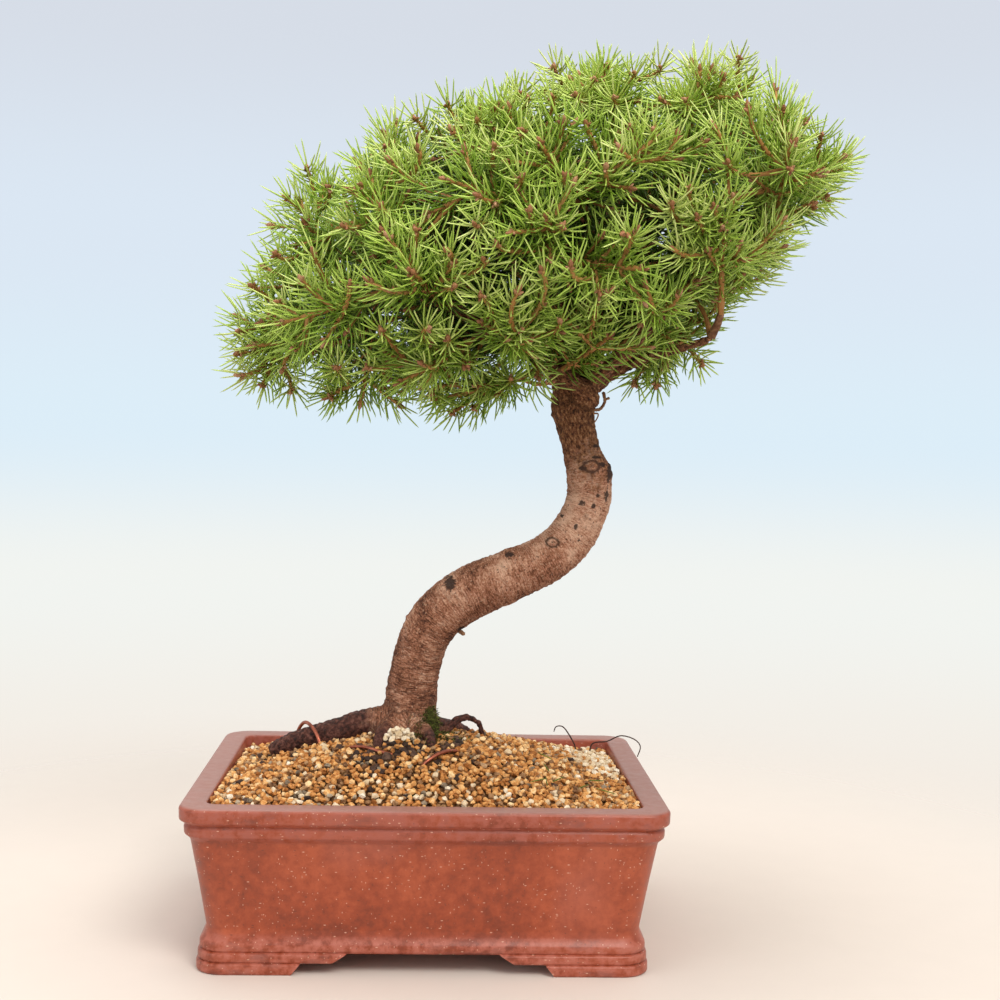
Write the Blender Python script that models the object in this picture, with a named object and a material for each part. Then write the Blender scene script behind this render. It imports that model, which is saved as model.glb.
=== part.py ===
"""Spruce bonsai in a rectangular footed pot, with its soil, tie wires and drainage mesh.

Everything is laid out about the middle of the pot, on the surface that it stands on, in millimetres.
The finished objects are scaled to metres and hang from one empty, which puts the whole on its origin.
"""
import math
import random

import bmesh
import bpy
import numpy as np
from mathutils import Matrix, Vector

# Scale, and the place of the pot's middle in the finished frame
MM = 0.001
POT_PLACE = Vector((-0.051, 0.0, 0.0))
GAP = 0.35

# Pot
RIM_HALF = (111.0, 89.0)
POT_HEIGHT = 77.0
RIM_CORNER = 12.0
INNER_CORNER = 6.0
RIM_WALL = 12.0
FLOOR_TOP = 17.0
FLOOR_UNDERSIDE = 9.8
INNER_TAPER = 5.0
POT_CORNER_STEPS = 3
# Outer wall from the table up: height, and how far the wall lies inside the rim's outline
OUTER_WALL = (
    (0.0, 8.3), (0.7, 7.6), (4.7, 7.6), (5.3, 8.9), (5.9, 8.1), (9.3, 8.2), (9.9, 9.6), (10.5, 8.8),
    (13.6, 8.9), (15.0, 10.0), (17.0, 11.0), (19.5, 11.4), (40.0, 8.2), (61.0, 4.6), (62.5, 3.4),
    (63.8, 2.2), (67.2, 2.0), (68.5, 2.9), (69.4, 1.4), (70.6, 0.1), (75.8, 0.0), (77.0, 1.2),
)
# The arches between the feet, seen from the front and from the side: half width, height
FRONT_ARCH = ((60.5, -1.0), (55.5, 5.3), (41.5, 5.3), (34.5, 9.8))
SIDE_ARCH = ((38.5, -1.0), (33.5, 5.3), (20.5, 5.3), (13.5, 9.8))
FOOT_THICKNESS = 15.0
DRAIN_PLACE = 48.0
DRAIN_RADIUS = 9.0
DRAIN_SIDES = 20

# Drainage mesh
MESH_HALF = 13.0
MESH_THICKNESS = 1.0
MESH_HOLES = 2
MESH_HOLE = 8.0

# Soil: its level at the walls, and the mound that the trunk stands on
SOIL_LEVEL = 73.8
SOIL_FALL_TO_BACK = 2.8
MOUND_HEIGHT = 23.0
MOUND_TOP_X = -8.0
MOUND_LEFT = (90.0, 2.0)
MOUND_RIGHT = (108.0, 1.5)
MOUND_DEPTH = (77.0, 2.2)
GRAIN_PITCH = 7.6
GRAIN_RELIEF = 0.9
SOIL_SEED = 4

# Trunk, from below the soil to the fork: x, y, z, radius
TRUNK = (
    (-11, 0, 56, 9), (-11, 0, 80, 16), (-11, 0, 92, 18), (-10, 0, 99, 16.5), (-9, 0, 106, 13.6),
    (-8.5, 0, 116, 12.7), (-7, -1, 126, 12.4), (-4.5, -2, 137, 12.4), (-1, -3, 147, 12.6),
    (6, -4, 156, 13), (15, -5, 163.5, 13.2), (27, -5, 170, 13.2), (40, -5, 175.5, 12.8),
    (53, -4, 181.5, 12.3), (64, -3, 189, 12), (72, -2, 199, 11.6), (76.5, -1, 208.5, 11.2),
    (78.5, 0, 217.5, 11.2), (77.5, 0, 226, 11), (75, 1, 234, 9.8), (72.5, 1, 243, 9.2),
    (70.5, 1, 252, 9.6), (69, 1, 260, 11), (67, 2, 270, 8.6), (66, 4, 290, 6.8), (65, 7, 315, 5.8),
    (73, 9, 345, 4.6), (84, 6, 372, 3.4), (90, 4, 390, 2.6),
)
TRUNK_SIDES = 12
TRUNK_STEPS = 1
BARK_RELIEF = 0.03

# Roots that show on the soil: x, y, z, radius along each
ROOTS = {
    "left": ((-10, 0, 101, 9), (-27, -1, 100.5, 7.4), (-48, -4, 95, 6.3), (-64, -3, 90.5, 5.4),
             (-77, -2, 85, 4)),
    "front": ((-13, -4, 100, 6), (-21, -14, 97.5, 4.6), (-23.5, -22, 93, 3.6), (-24.5, -31, 88.5, 3.4),
              (-19, -40, 84.5, 3.8)),
    "right_front": ((-6, -5, 99, 5), (0, -16, 97.5, 3.4), (2, -27, 92.5, 2.6), (2.5, -37, 86, 2)),
    "arch": ((-4, 0, 98, 4.4), (8, -4, 96.5, 2.7), (14, -2, 101.5, 2), (20, 1, 102.6, 1.9),
             (26, 4, 98.5, 1.7), (29, 6, 87, 1.6)),
    "back": ((-10, 4, 99, 6), (-13, 17, 97, 4.8), (-17, 31, 92, 3.8), (-22, 44, 84, 2.8)),
    "back_right": ((-6, 5, 99, 5), (6, 16, 96, 3.8), (17, 27, 91.5, 3), (26, 36, 84, 2.2)),
}
ROOT_SIDES = 6
ROOT_STEPS = 1

# Limbs, from inside the trunk to their ends: x, y, z, radius along each
LIMBS = {
    "left": ((68, 1, 266, 6.5), (60, -8, 277, 5.6), (48, -14, 285, 5), (20, -20, 296, 4.2),
             (-15, -17, 306, 3.4), (-46, -10, 313, 2.6)),
    "left_back": ((66, 4, 282, 5), (44, 30, 298, 4.2), (14, 48, 313, 3.4), (-20, 52, 327, 2.6)),
    "left_front": ((60, -8, 277, 4.6), (36, -34, 290, 3.8), (6, -54, 304, 3.2), (-22, -60, 316, 2.4)),
    "left_top": ((65, 7, 306, 4.6), (44, 2, 328, 3.8), (14, 4, 347, 3.2), (-16, 6, 358, 2.5)),
    "front": ((67, 2, 276, 5), (60, -32, 300, 4), (52, -56, 326, 3.2), (50, -66, 348, 2.4)),
    "middle": ((68, 2, 270, 5.6), (79, -12, 298, 4.8), (85, -18, 322, 4.2), (101, -20, 339, 3.6),
               (106, -20, 362, 3), (116, -20, 382, 2.4)),
    "dark": ((76, -8, 300, 3.6), (80, 4, 326, 3.2), (71, 18, 346, 2.8), (58, 30, 366, 2.4)),
    "right": ((70, 2, 264, 6), (100, 8, 289, 5), (120, 10, 307, 4.4), (136, 12, 325, 3.8),
              (147, 12, 348, 3.2), (160, 10, 368, 2.6)),
    "right_low": ((118, 10, 305, 3.6), (131, 2, 321, 3.2), (150, -6, 331, 2.8), (166, -10, 347, 2.3)),
    "right_front": ((72, 0, 266, 4.6), (86, -20, 282, 4), (108, -44, 306, 3.4), (132, -54, 330, 2.5)),
    "thin": ((74, 0, 266, 3.4), (84, -8, 274, 2.9), (103, -20, 284, 2.4), (128, -28, 292, 1.9),
             (133, -30, 296, 1.6)),
    "back": ((67, 4, 280, 5), (78, 36, 304, 4.2), (90, 58, 330, 3.4), (98, 66, 354, 2.5)),
    "back_right": ((80, 36, 306, 3.8), (112, 52, 322, 3.2), (140, 56, 344, 2.5)),
}
LIMB_SIDES = 5
LIMB_STEPS = 1
PERCH_STEPS = 3

# Dead twigs on the trunk
TWIGS = {
    "stub": ((8, -5, 153, 1.6), (14, -5.5, 147.8, 1.2), (17, -6, 145.6, 1)),
    "curl": ((73, -4, 256, 1.4), (79, -4, 258.3, 0.9), (82.2, -4, 259, 0.8), (84.4, -4, 262.6, 0.75),
             (83.7, -4, 267.2, 0.9)),
}
TWIG_SIDES = 4

# Crown: the outline of its needle tips seen from the front, its half depth, and its middle
OUTLINE = (
    (-106, 286), (-101, 318), (-84, 354), (-60, 379), (-19, 403), (30, 420), (73, 436), (110, 431),
    (148, 439), (180, 417), (210, 389), (187, 348), (150, 315), (127, 279), (84, 272), (43, 258),
    (0, 255), (-49, 253), (-88, 260),
)
CROWN_MIDDLE = Vector((55, 0, 335))
CROWN_HALF_DEPTH = 112.0
SPRAYS = 48
# What one more spray, below the rest and left of the fork, reaches for
LOW_TARGETS = (Vector((-2, -34, 254)),)
LOWEST_HEADING = -0.62
CANDIDATES = 1200
CROWN_SEED = 11

# Branches that carry the sprays
BRANCH_RADII = (2.3, 1.7)
BRANCH_SIDES = 4
BRANCH_STEPS = 2
BRANCH_REACH_BACK = 0.2
BRANCH_LEAST = 7.0
SHORTEST_WAY = 58.0

# Spray: a stem with two shoots at each of two stations
SPRAY_LENGTH = (46.0, 58.0)
TIP_TO_OUTLINE = 10.0
TIP_DEPTH = 7.0
STATIONS = (0.36, 0.68)
STEM_RADII = (1.5, 1.0)
SHOOT_RADII = (1.05, 0.8)
SHOOT_LENGTH = (18.0, 26.0)
SHOOT_ANGLE = (44.0, 62.0)
SHOOT_CLEARANCE = 1.6
STEM_SWING = 3.0
TRIES = 10
PERCH_TRIES = 30
# Rods are numbered: limbs 0, branches from 1, stems from here, and then the shoots on the stems
FIRST_STEM = 100
BUD = 2.6
BUD_POINT = 0.3

# Needles
NEEDLE_LENGTH = (13.0, 16.0)
NEEDLE_LEAN = (46.0, 60.0)
TIP_NEEDLE_LEAN = (26.0, 36.0)
NEEDLE_SWING = 9.0
NEEDLE_RADII = (1.4, 0.1)
NEEDLE_OUTER_RADII = (0.9, 0.1)
NEEDLE_CLEARANCE = 0.3
NEEDLE_TRIES = 5
NEEDLE_SEED = 21
NEEDLE_OWNER = -1
WHORL = 1.3
# Where a stem and a shoot carry a whorl of needles, as shares of their length
STEM_WHORLS = (0.52, 0.9)
SHOOT_WHORLS = (0.68,)
# The triangles of a whorl that face to either side of its stem
RIGHT_TRIANGLE = 0
LEFT_TRIANGLE = 5

# Tie wires: x, y, z along each, both ends in the soil
WIRES = {
    "left": ((-67, 13, 80), (-66, 9.5, 91.5), (-62.5, 3, 98.3), (-58.5, -5.5, 99.2), (-54, -12.5, 94.5),
             (-51, -16, 84)),
    "middle": ((-43, -21, 82), (-40, -24, 90.5), (-32, -30, 93.6), (-24, -35, 92.8), (-15, -37, 90),
               (-11, -38, 81)),
    "right": ((-5, -50, 79), (-3, -48, 87.5), (3, -44, 92.4), (10, -36, 93.4), (15, -30, 91),
              (17, -28, 82)),
}
WIRE_RADIUS = 0.9
WIRE_SIDES = 6
WIRE_STEPS = 2

SHARP_ANGLE = 40.0


def remove_everything():
    for item in list(bpy.data.objects):
        bpy.data.objects.remove(item)


def material(name, colour, roughness, metallic=0.0):
    made = bpy.data.materials.new(name)
    made.use_nodes = True
    shader = made.node_tree.nodes["Principled BSDF"]
    shader.inputs["Base Color"].default_value = (*colour, 1.0)
    shader.inputs["Roughness"].default_value = roughness
    shader.inputs["Metallic"].default_value = metallic
    return made


def new_object(name, points, faces, finish=None):
    mesh = bpy.data.meshes.new(name)
    mesh.from_pydata([tuple(point) for point in points], [], faces)
    if finish:
        mesh.materials.append(finish)
    made = bpy.data.objects.new(name, mesh)
    bpy.context.collection.objects.link(made)
    return made


# Solids from rings and tubes

def loft(name, rings, finish=None):
    """A closed body through rings of equal count, anticlockwise seen along the loft."""
    count = len(rings[0])
    points = [point for ring in rings for point in ring]
    faces = [tuple(reversed(range(count)))]
    for low in range(0, count * (len(rings) - 1), count):
        for i in range(count):
            j = (i + 1) % count
            faces.append((low + i, low + j, low + count + j, low + count + i))
    faces.append(tuple(range(len(points) - count, len(points))))
    return new_object(name, points, faces, finish)


def smooth_route(points, steps):
    """Points of a smooth curve through the given ones, with whatever each carries, in even steps."""
    rows = [np.array(point, float) for point in points]
    rows = [2 * rows[0] - rows[1]] + rows + [2 * rows[-1] - rows[-2]]
    route = []
    for a, b, c, d in zip(rows, rows[1:], rows[2:], rows[3:]):
        for step in range(steps):
            t = step / steps
            route.append(0.5 * (2 * b + (c - a) * t + (2 * a - 5 * b + 4 * c - d) * t * t
                                + (3 * b - a - 3 * c + d) * t ** 3))
    route.append(rows[-2])
    return route


def directions(route):
    """The direction at each point of a route of vectors."""
    last = len(route) - 1
    return [(route[min(i + 1, last)] - route[max(i - 1, 0)]).normalized() for i in range(last + 1)]


def carried_spokes(headings, first):
    """One spoke at each heading, carried along without twist."""
    spokes = []
    spoke = first
    for heading in headings:
        spoke = (spoke - heading * spoke.dot(heading)).normalized()
        spokes.append(spoke)
    return spokes


def tube(name, rows, sides, finish=None, grow=0.0, relief=0.0):
    """A tube with flat ends through rows of x, y, z, radius, thicker by grow all over."""
    route = [Vector(row[:3]) for row in rows]
    radii = [row[3] + grow for row in rows]
    headings = directions(route)
    route[0] = route[0] - headings[0] * grow
    route[-1] = route[-1] + headings[-1] * grow
    spokes = carried_spokes(headings, headings[0].orthogonal())
    rings = []
    for number, (centre, heading, spoke, radius) in enumerate(zip(route, headings, spokes, radii)):
        ring = []
        for side in range(sides):
            turn = Matrix.Rotation(2 * math.pi * side / sides, 3, heading)
            swell = 1 + relief * math.sin(2.3 * side + 1.7 * number) * math.cos(0.9 * number - side)
            ring.append(centre + turn @ spoke * radius * swell)
        rings.append(ring)
    return loft(name, rings, finish)


def combine(target, others, operation):
    """Joins or cuts the target by the other objects with one Boolean, applied, and removes them."""
    group = bpy.data.collections.new("operands")
    bpy.context.scene.collection.children.link(group)
    for other in others:
        group.objects.link(other)
    boolean = target.modifiers.new("combine", "BOOLEAN")
    boolean.operand_type = "COLLECTION"
    boolean.collection = group
    boolean.operation = operation
    boolean.solver = "EXACT"
    whole = target.evaluated_get(bpy.context.evaluated_depsgraph_get())
    target.data = bpy.data.meshes.new_from_object(whole)
    target.modifiers.clear()
    for other in others:
        bpy.data.objects.remove(other)
    bpy.data.collections.remove(group)
    return target


# Pot

def rounded_rectangle(half_x, half_y, corner, height):
    """Points of a rectangle with round corners, anticlockwise seen from above."""
    points = []
    for quarter, (sign_x, sign_y) in enumerate(((1, 1), (-1, 1), (-1, -1), (1, -1))):
        for step in range(POT_CORNER_STEPS + 1):
            angle = math.radians(90 * (quarter + step / POT_CORNER_STEPS))
            x = sign_x * (half_x - corner) + corner * math.cos(angle)
            y = sign_y * (half_y - corner) + corner * math.sin(angle)
            points.append(Vector((x, y, height)))
    return points


def pot_ring(height, inset, corner=RIM_CORNER):
    half_x, half_y = RIM_HALF
    return rounded_rectangle(half_x - inset, half_y - inset, corner, height)


def cavity_inset(height):
    """How far the cavity's wall lies inside the rim's outline at a height."""
    return RIM_WALL + INNER_TAPER * (POT_HEIGHT - height) / (POT_HEIGHT - FLOOR_TOP)


def arch_cutter(profile, reach, along_y):
    """A bar of the arch's outline, across the whole pot, front to back or side to side."""
    outline = [(-width, height) for width, height in profile]
    outline += [(width, height) for width, height in reversed(profile)]
    ends = []
    for end in (-reach, reach):
        if along_y:
            ends.append([Vector((width, -end, height)) for width, height in outline])
        else:
            ends.append([Vector((end, width, height)) for width, height in outline])
    return loft("arch", [list(reversed(ring)) for ring in ends])


def box(name, low, high):
    corners = ((low[0], low[1]), (high[0], low[1]), (high[0], high[1]), (low[0], high[1]))
    rings = [[Vector((x, y, z)) for x, y in corners] for z in (low[2], high[2])]
    return loft(name, rings)


def drain_cutter(x):
    turns = [2 * math.pi * side / DRAIN_SIDES for side in range(DRAIN_SIDES)]
    circle = [(x + DRAIN_RADIUS * math.cos(turn), DRAIN_RADIUS * math.sin(turn)) for turn in turns]
    rings = []
    for z in (FLOOR_UNDERSIDE - 2, FLOOR_TOP + 2):
        rings.append([Vector((*point, z)) for point in circle])
    return loft("drain", rings)


def make_pot(finish):
    rings = [pot_ring(height, inset) for height, inset in OUTER_WALL]
    rings.append(pot_ring(POT_HEIGHT, RIM_WALL - 0.8, INNER_CORNER))
    rings.append(pot_ring(POT_HEIGHT - 0.9, RIM_WALL, INNER_CORNER))
    rings.append(pot_ring(FLOOR_TOP, cavity_inset(FLOOR_TOP), INNER_CORNER))
    pot = loft("pot", rings, finish)
    foot = OUTER_WALL[1][1] + FOOT_THICKNESS
    under = (RIM_HALF[0] - foot, RIM_HALF[1] - foot)
    cutters = [
        arch_cutter(FRONT_ARCH, RIM_HALF[1] + 5, along_y=True),
        arch_cutter(SIDE_ARCH, RIM_HALF[0] + 5, along_y=False),
        box("under", (-under[0], -under[1], -1), (*under, FLOOR_UNDERSIDE)),
        drain_cutter(-DRAIN_PLACE),
        drain_cutter(DRAIN_PLACE),
    ]
    return combine(pot, cutters, "DIFFERENCE")


# Drainage mesh

def make_drain_mesh(name, x, finish):
    """A square plate with a grid of square holes, over one drainage hole."""
    bar = (2 * MESH_HALF - MESH_HOLES * MESH_HOLE) / (MESH_HOLES + 1)
    lines = [-MESH_HALF]
    for hole in range(MESH_HOLES):
        lines += [lines[-1] + bar, lines[-1] + bar + MESH_HOLE]
    lines.append(MESH_HALF)
    low = FLOOR_TOP + GAP
    sheet = bmesh.new()
    grid = [[sheet.verts.new((x + a, b, low)) for b in lines] for a in lines]
    for i in range(len(lines) - 1):
        for j in range(len(lines) - 1):
            if i % 2 and j % 2:
                continue
            sheet.faces.new((grid[i][j], grid[i + 1][j], grid[i + 1][j + 1], grid[i][j + 1]))
    raised = bmesh.ops.extrude_face_region(sheet, geom=sheet.faces[:])["geom"]
    lifted = [item for item in raised if isinstance(item, bmesh.types.BMVert)]
    bmesh.ops.translate(sheet, verts=lifted, vec=(0, 0, MESH_THICKNESS))
    bmesh.ops.recalc_face_normals(sheet, faces=sheet.faces[:])
    mesh = bpy.data.meshes.new(name)
    sheet.to_mesh(mesh)
    sheet.free()
    mesh.materials.append(finish)
    made = bpy.data.objects.new(name, mesh)
    bpy.context.collection.objects.link(made)
    return made


# Soil

def soil_height(x, y):
    """The smooth level of the soil, without its grains."""
    reach, power = MOUND_LEFT if x < MOUND_TOP_X else MOUND_RIGHT
    across = max(0.0, 1 - (abs(x - MOUND_TOP_X) / reach) ** power)
    reach, power = MOUND_DEPTH
    deep = max(0.0, 1 - (abs(y) / reach) ** power)
    return SOIL_LEVEL - SOIL_FALL_TO_BACK * y / MOUND_DEPTH[0] + MOUND_HEIGHT * across * deep


def soil_block():
    """A block with the mound's grained top, wider than the pot's cavity."""
    rng = random.Random(SOIL_SEED)
    columns = math.ceil(2 * (RIM_HALF[0] - RIM_WALL + 3) / GRAIN_PITCH)
    rows = math.ceil(2 * (RIM_HALF[1] - RIM_WALL + 3) / GRAIN_PITCH)
    points = []
    for layer in range(2):
        for row in range(rows + 1):
            for column in range(columns + 1):
                shift = GRAIN_PITCH * (0.25 if row % 2 else -0.25)
                x = (column - columns / 2) * GRAIN_PITCH + shift
                y = (row - rows / 2) * GRAIN_PITCH
                top = soil_height(x, y) + rng.uniform(-GRAIN_RELIEF, GRAIN_RELIEF)
                points.append(Vector((x, y, top if layer else 0)))
    width = columns + 1
    layer = width * (rows + 1)
    faces = []
    for row in range(rows):
        for column in range(columns):
            a = row * width + column
            faces.append((a, a + width, a + width + 1, a + 1))
            a += layer
            corners = (a, a + 1, a + width + 1, a + width)
            turn = row % 2
            faces.append((corners[turn], corners[turn + 1], corners[turn + 2]))
            faces.append((corners[turn], corners[turn + 2], corners[(turn + 3) % 4]))
    for column in range(columns):
        low, high = column, rows * width + column
        faces.append((low, low + 1, layer + low + 1, layer + low))
        faces.append((high + 1, high, layer + high, layer + high + 1))
    for row in range(rows):
        left, right = row * width, row * width + columns
        faces.append((left + width, left, layer + left, layer + left + width))
        faces.append((right, right + width, layer + right + width, layer + right))
    return new_object("soil", points, faces)


def soil_bounds():
    """The pot's cavity, a gap smaller all round, as one block."""
    bottom = FLOOR_TOP + GAP
    top = POT_HEIGHT + MOUND_HEIGHT + 10
    rings = []
    for height in (bottom, POT_HEIGHT, top):
        wall = cavity_inset(min(height, POT_HEIGHT)) + GAP
        rings.append(pot_ring(height, wall, INNER_CORNER))
    return loft("bounds", rings)


def make_soil(finish):
    soil = combine(soil_block(), [soil_bounds()], "INTERSECT")
    cutters = [tube("hole", buried_trunk(), TRUNK_SIDES, grow=GAP, relief=BARK_RELIEF)]
    for rows in ROOTS.values():
        cutters.append(tube("trench", root_rows(rows), ROOT_SIDES, grow=GAP))
    for rows in WIRES.values():
        cutters.append(tube("wire hole", wire_rows(rows), WIRE_SIDES, grow=GAP))
    for x in (-DRAIN_PLACE, DRAIN_PLACE):
        reach = MESH_HALF + GAP
        low = (x - reach, -reach, FLOOR_TOP)
        high = (x + reach, reach, FLOOR_TOP + MESH_THICKNESS + 2 * GAP)
        cutters.append(box("recess", low, high))
    soil = combine(soil, cutters, "DIFFERENCE")
    soil.data.materials.clear()
    soil.data.materials.append(finish)
    return soil


# Trunk, roots and limbs

def trunk_rows():
    return smooth_route(TRUNK, TRUNK_STEPS)


def buried_trunk():
    """The trunk's stretch that stands in the soil, and a little above it."""
    return trunk_rows()[:5 * TRUNK_STEPS + 1]


def root_rows(rows):
    return smooth_route(rows, ROOT_STEPS)


def limb_rows(rows):
    return smooth_route(rows, LIMB_STEPS)


def wire_rows(rows):
    return [(*row, WIRE_RADIUS) for row in smooth_route(rows, WIRE_STEPS)]


# Rods that keep clear of each other

class Clearance:
    """Tapered rods, each a straight stretch with a radius at either end."""

    def __init__(self):
        self.rods = np.zeros((0, 8))
        self.owners = np.zeros(0, int)

    def add(self, start, end, radii, owner):
        row = np.array((*start, *end, *radii))
        self.rods = np.vstack((self.rods, row))
        self.owners = np.append(self.owners, owner)

    def add_route(self, rows, owner):
        for first, second in zip(rows, rows[1:]):
            self.add(first[:3], second[:3], (first[3], second[3]), owner)

    def room(self, start, end, radii, ignore=()):
        """The smallest space between a new rod's surface and those of the rods not ignored."""
        kept = ~np.isin(self.owners, list(ignore))
        if not kept.any():
            return math.inf
        rods = self.rods[kept]
        start = np.array(start)
        along = np.array(end) - start
        across = rods[:, 3:6] - rods[:, 0:3]
        between = start - rods[:, 0:3]
        a = along @ along
        b = across @ along
        c = between @ along
        e = np.einsum("ij,ij->i", across, across)
        f = np.einsum("ij,ij->i", across, between)
        slack = np.maximum(a * e - b * b, 1e-9)
        s = np.clip((b * f - c * e) / slack, 0, 1)
        t = np.clip((b * s + f) / e, 0, 1)
        s = np.clip((b * t - c) / a, 0, 1)
        apart = between + s[:, None] * along - t[:, None] * across
        thick = radii[0] + (radii[1] - radii[0]) * s
        thick += rods[:, 6] + (rods[:, 7] - rods[:, 6]) * t
        return float((np.linalg.norm(apart, axis=1) - thick).min())


# Crown: where its sprays are, and the shoots of each

def outline_polar():
    """The crown's outline as angles in degrees and distances about its middle, in order of angle."""
    polar = []
    for x, z in OUTLINE:
        across, up = x - CROWN_MIDDLE.x, z - CROWN_MIDDLE.z
        polar.append((math.degrees(math.atan2(up, across)) % 360, math.hypot(across, up)))
    polar.sort()
    return zip(*polar)


OUTLINE_ANGLES, OUTLINE_REACH = (list(values) for values in outline_polar())


def crown_point(heading):
    """The place of the needle tips in a direction from the crown's middle."""
    angle = math.degrees(math.atan2(heading.z, heading.x)) % 360
    side = float(np.interp(angle, OUTLINE_ANGLES, OUTLINE_REACH, period=360))
    flat = math.hypot(heading.x, heading.z)
    reach = 1 / math.hypot(flat / side, heading.y / CROWN_HALF_DEPTH)
    return CROWN_MIDDLE + heading * reach


def depth_inside(point):
    """How far inside the crown's outer shell a point lies, on the line from the crown's middle."""
    way = point - CROWN_MIDDLE
    return (crown_point(way.normalized()) - CROWN_MIDDLE).length - way.length


def spray_targets():
    """Even points of the crown's outer shell: each next one is the farthest from those before."""
    golden = math.pi * (3 - math.sqrt(5))
    shell = []
    for number in range(CANDIDATES):
        up = 1 - 2 * (number + 0.5) / CANDIDATES
        if up < LOWEST_HEADING:
            continue
        flat = math.sqrt(1 - up * up)
        heading = Vector((flat * math.cos(golden * number), flat * math.sin(golden * number), up))
        shell.append(crown_point(heading))
    places = np.array(shell)
    chosen = [int(places[:, 0].argmin())]
    nearest = np.linalg.norm(places - places[chosen[0]], axis=1)
    while len(chosen) < SPRAYS:
        chosen.append(int(nearest.argmax()))
        nearest = np.minimum(nearest, np.linalg.norm(places - places[chosen[-1]], axis=1))
    return [shell[index] for index in chosen]


def limb_perches():
    """Places along the limbs and the leader where a branch may leave: point and direction."""
    perches = []
    for rows in (*LIMBS.values(), TRUNK[-5:]):
        rows = smooth_route(rows, PERCH_STEPS)
        route = [Vector(row[:3]) for row in rows]
        headings = directions(route)
        for row, point, heading in list(zip(rows, route, headings))[PERCH_STEPS:-1]:
            perches.append((point, heading, row[3]))
        perches.append((route[-1] - headings[-1] * 3, headings[-1], 0.0))
    return perches


def branch_cost(perch, target):
    """How far, and how much against its direction, a branch would leave a perch for a target."""
    point, heading, _ = perch
    way = target - point
    cost = way.length * (1.35 - 0.35 * way.normalized().dot(heading))
    return cost + 4 * max(0.0, SHORTEST_WAY - way.length)


def spray_plan(rng, target, perch):
    """The branch from a perch that carries a spray, and the spray's start, heading and length."""
    foot, limb_heading, limb_radius = perch
    way = target - foot
    heading = way.normalized()
    most = way.length - TIP_TO_OUTLINE - limb_radius - BRANCH_LEAST
    length = min(rng.uniform(*SPRAY_LENGTH), most)
    start = target - heading * (TIP_TO_OUTLINE + length)
    bend = foot + (limb_heading + heading) * (start - foot).length * BRANCH_REACH_BACK
    rows = []
    for step in range(BRANCH_STEPS + 1):
        t = step / BRANCH_STEPS
        point = foot * (1 - t) ** 2 + bend * 2 * t * (1 - t) + start * t * t
        radius = BRANCH_RADII[0] + (BRANCH_RADII[1] - BRANCH_RADII[0]) * t
        rows.append((*point, radius))
    return rows, start, (start - bend).normalized(), length


def curved_shoot(start, heading, length, lift):
    """A shoot as a function of the share of its length, bending up a little towards its tip."""
    rise = Vector((0, 0, 1)) - heading * heading.z

    def place(t):
        return start + heading * length * t + rise * length * lift * t * t

    return place


def shoot_rows(place, radii, steps=4):
    """Rows of x, y, z, radius along a shoot and out to the point of its bud."""
    rows = []
    for step in range(steps + 1):
        t = step / steps
        rows.append((*place(t), radii[0] + (radii[1] - radii[0]) * t))
    bud = place(1) + (place(1) - place(1 - 1 / steps)).normalized() * BUD
    rows.append((*bud, BUD_POINT))
    return rows


def shoot_room(clearance, place, radii, skip, ignore):
    rows = shoot_rows(place, radii)[skip:]
    return min(clearance.room(a[:3], b[:3], (a[3], b[3]), ignore) for a, b in zip(rows, rows[1:]))


class Shoot:
    """One shoot: where it runs, how thick it is, and the station of the shoot that it leaves."""

    def __init__(self, place, radii, length, number):
        self.place = place
        self.radii = radii
        self.length = length
        self.number = number
        self.laterals = {}

    def heading(self, t):
        return (self.place(t + 0.02) - self.place(t - 0.02)).normalized()

    def radius(self, t):
        return self.radii[0] + (self.radii[1] - self.radii[0]) * t

    def stations(self):
        """The places along the shoot that carry needles or further shoots, from its root."""
        return sorted([*STEM_WHORLS, *self.laterals]) if self.laterals else SHOOT_WHORLS


def turned(heading, about, degrees):
    return Matrix.Rotation(math.radians(degrees), 3, about) @ heading


def clear_stem(rng, clearance, branch, start, heading, length, number):
    """A spray's stem, turned a little until it has room among what stands there already."""
    for attempt in range(TRIES):
        aim = turned(heading, heading.orthogonal(), rng.uniform(0, STEM_SWING * attempt))
        aim = turned(aim, heading, rng.uniform(0, 360))
        place = curved_shoot(start + heading * GAP, aim, length, rng.uniform(0.02, 0.1))
        if depth_inside(place(1)) < TIP_DEPTH:
            continue
        if shoot_room(clearance, place, STEM_RADII, 0, (branch,)) > SHOOT_CLEARANCE:
            return Shoot(place, STEM_RADII, length, number)
    return None


def clear_spray(rng, clearance, target, perches, number):
    """The branch and the stem of one spray, from the best perch that leaves both of them room."""
    wood = range(FIRST_STEM)
    for perch in sorted(perches, key=lambda item: branch_cost(item, target))[:PERCH_TRIES]:
        rows, start, heading, length = spray_plan(rng, target, perch)
        free = min(clearance.room(a[:3], b[:3], (a[3], b[3]), wood) for a, b in zip(rows, rows[1:]))
        if free < SHOOT_CLEARANCE:
            continue
        stem = clear_stem(rng, clearance, number, start, heading, length, FIRST_STEM + number)
        if stem:
            return rows, stem
    return None


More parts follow.
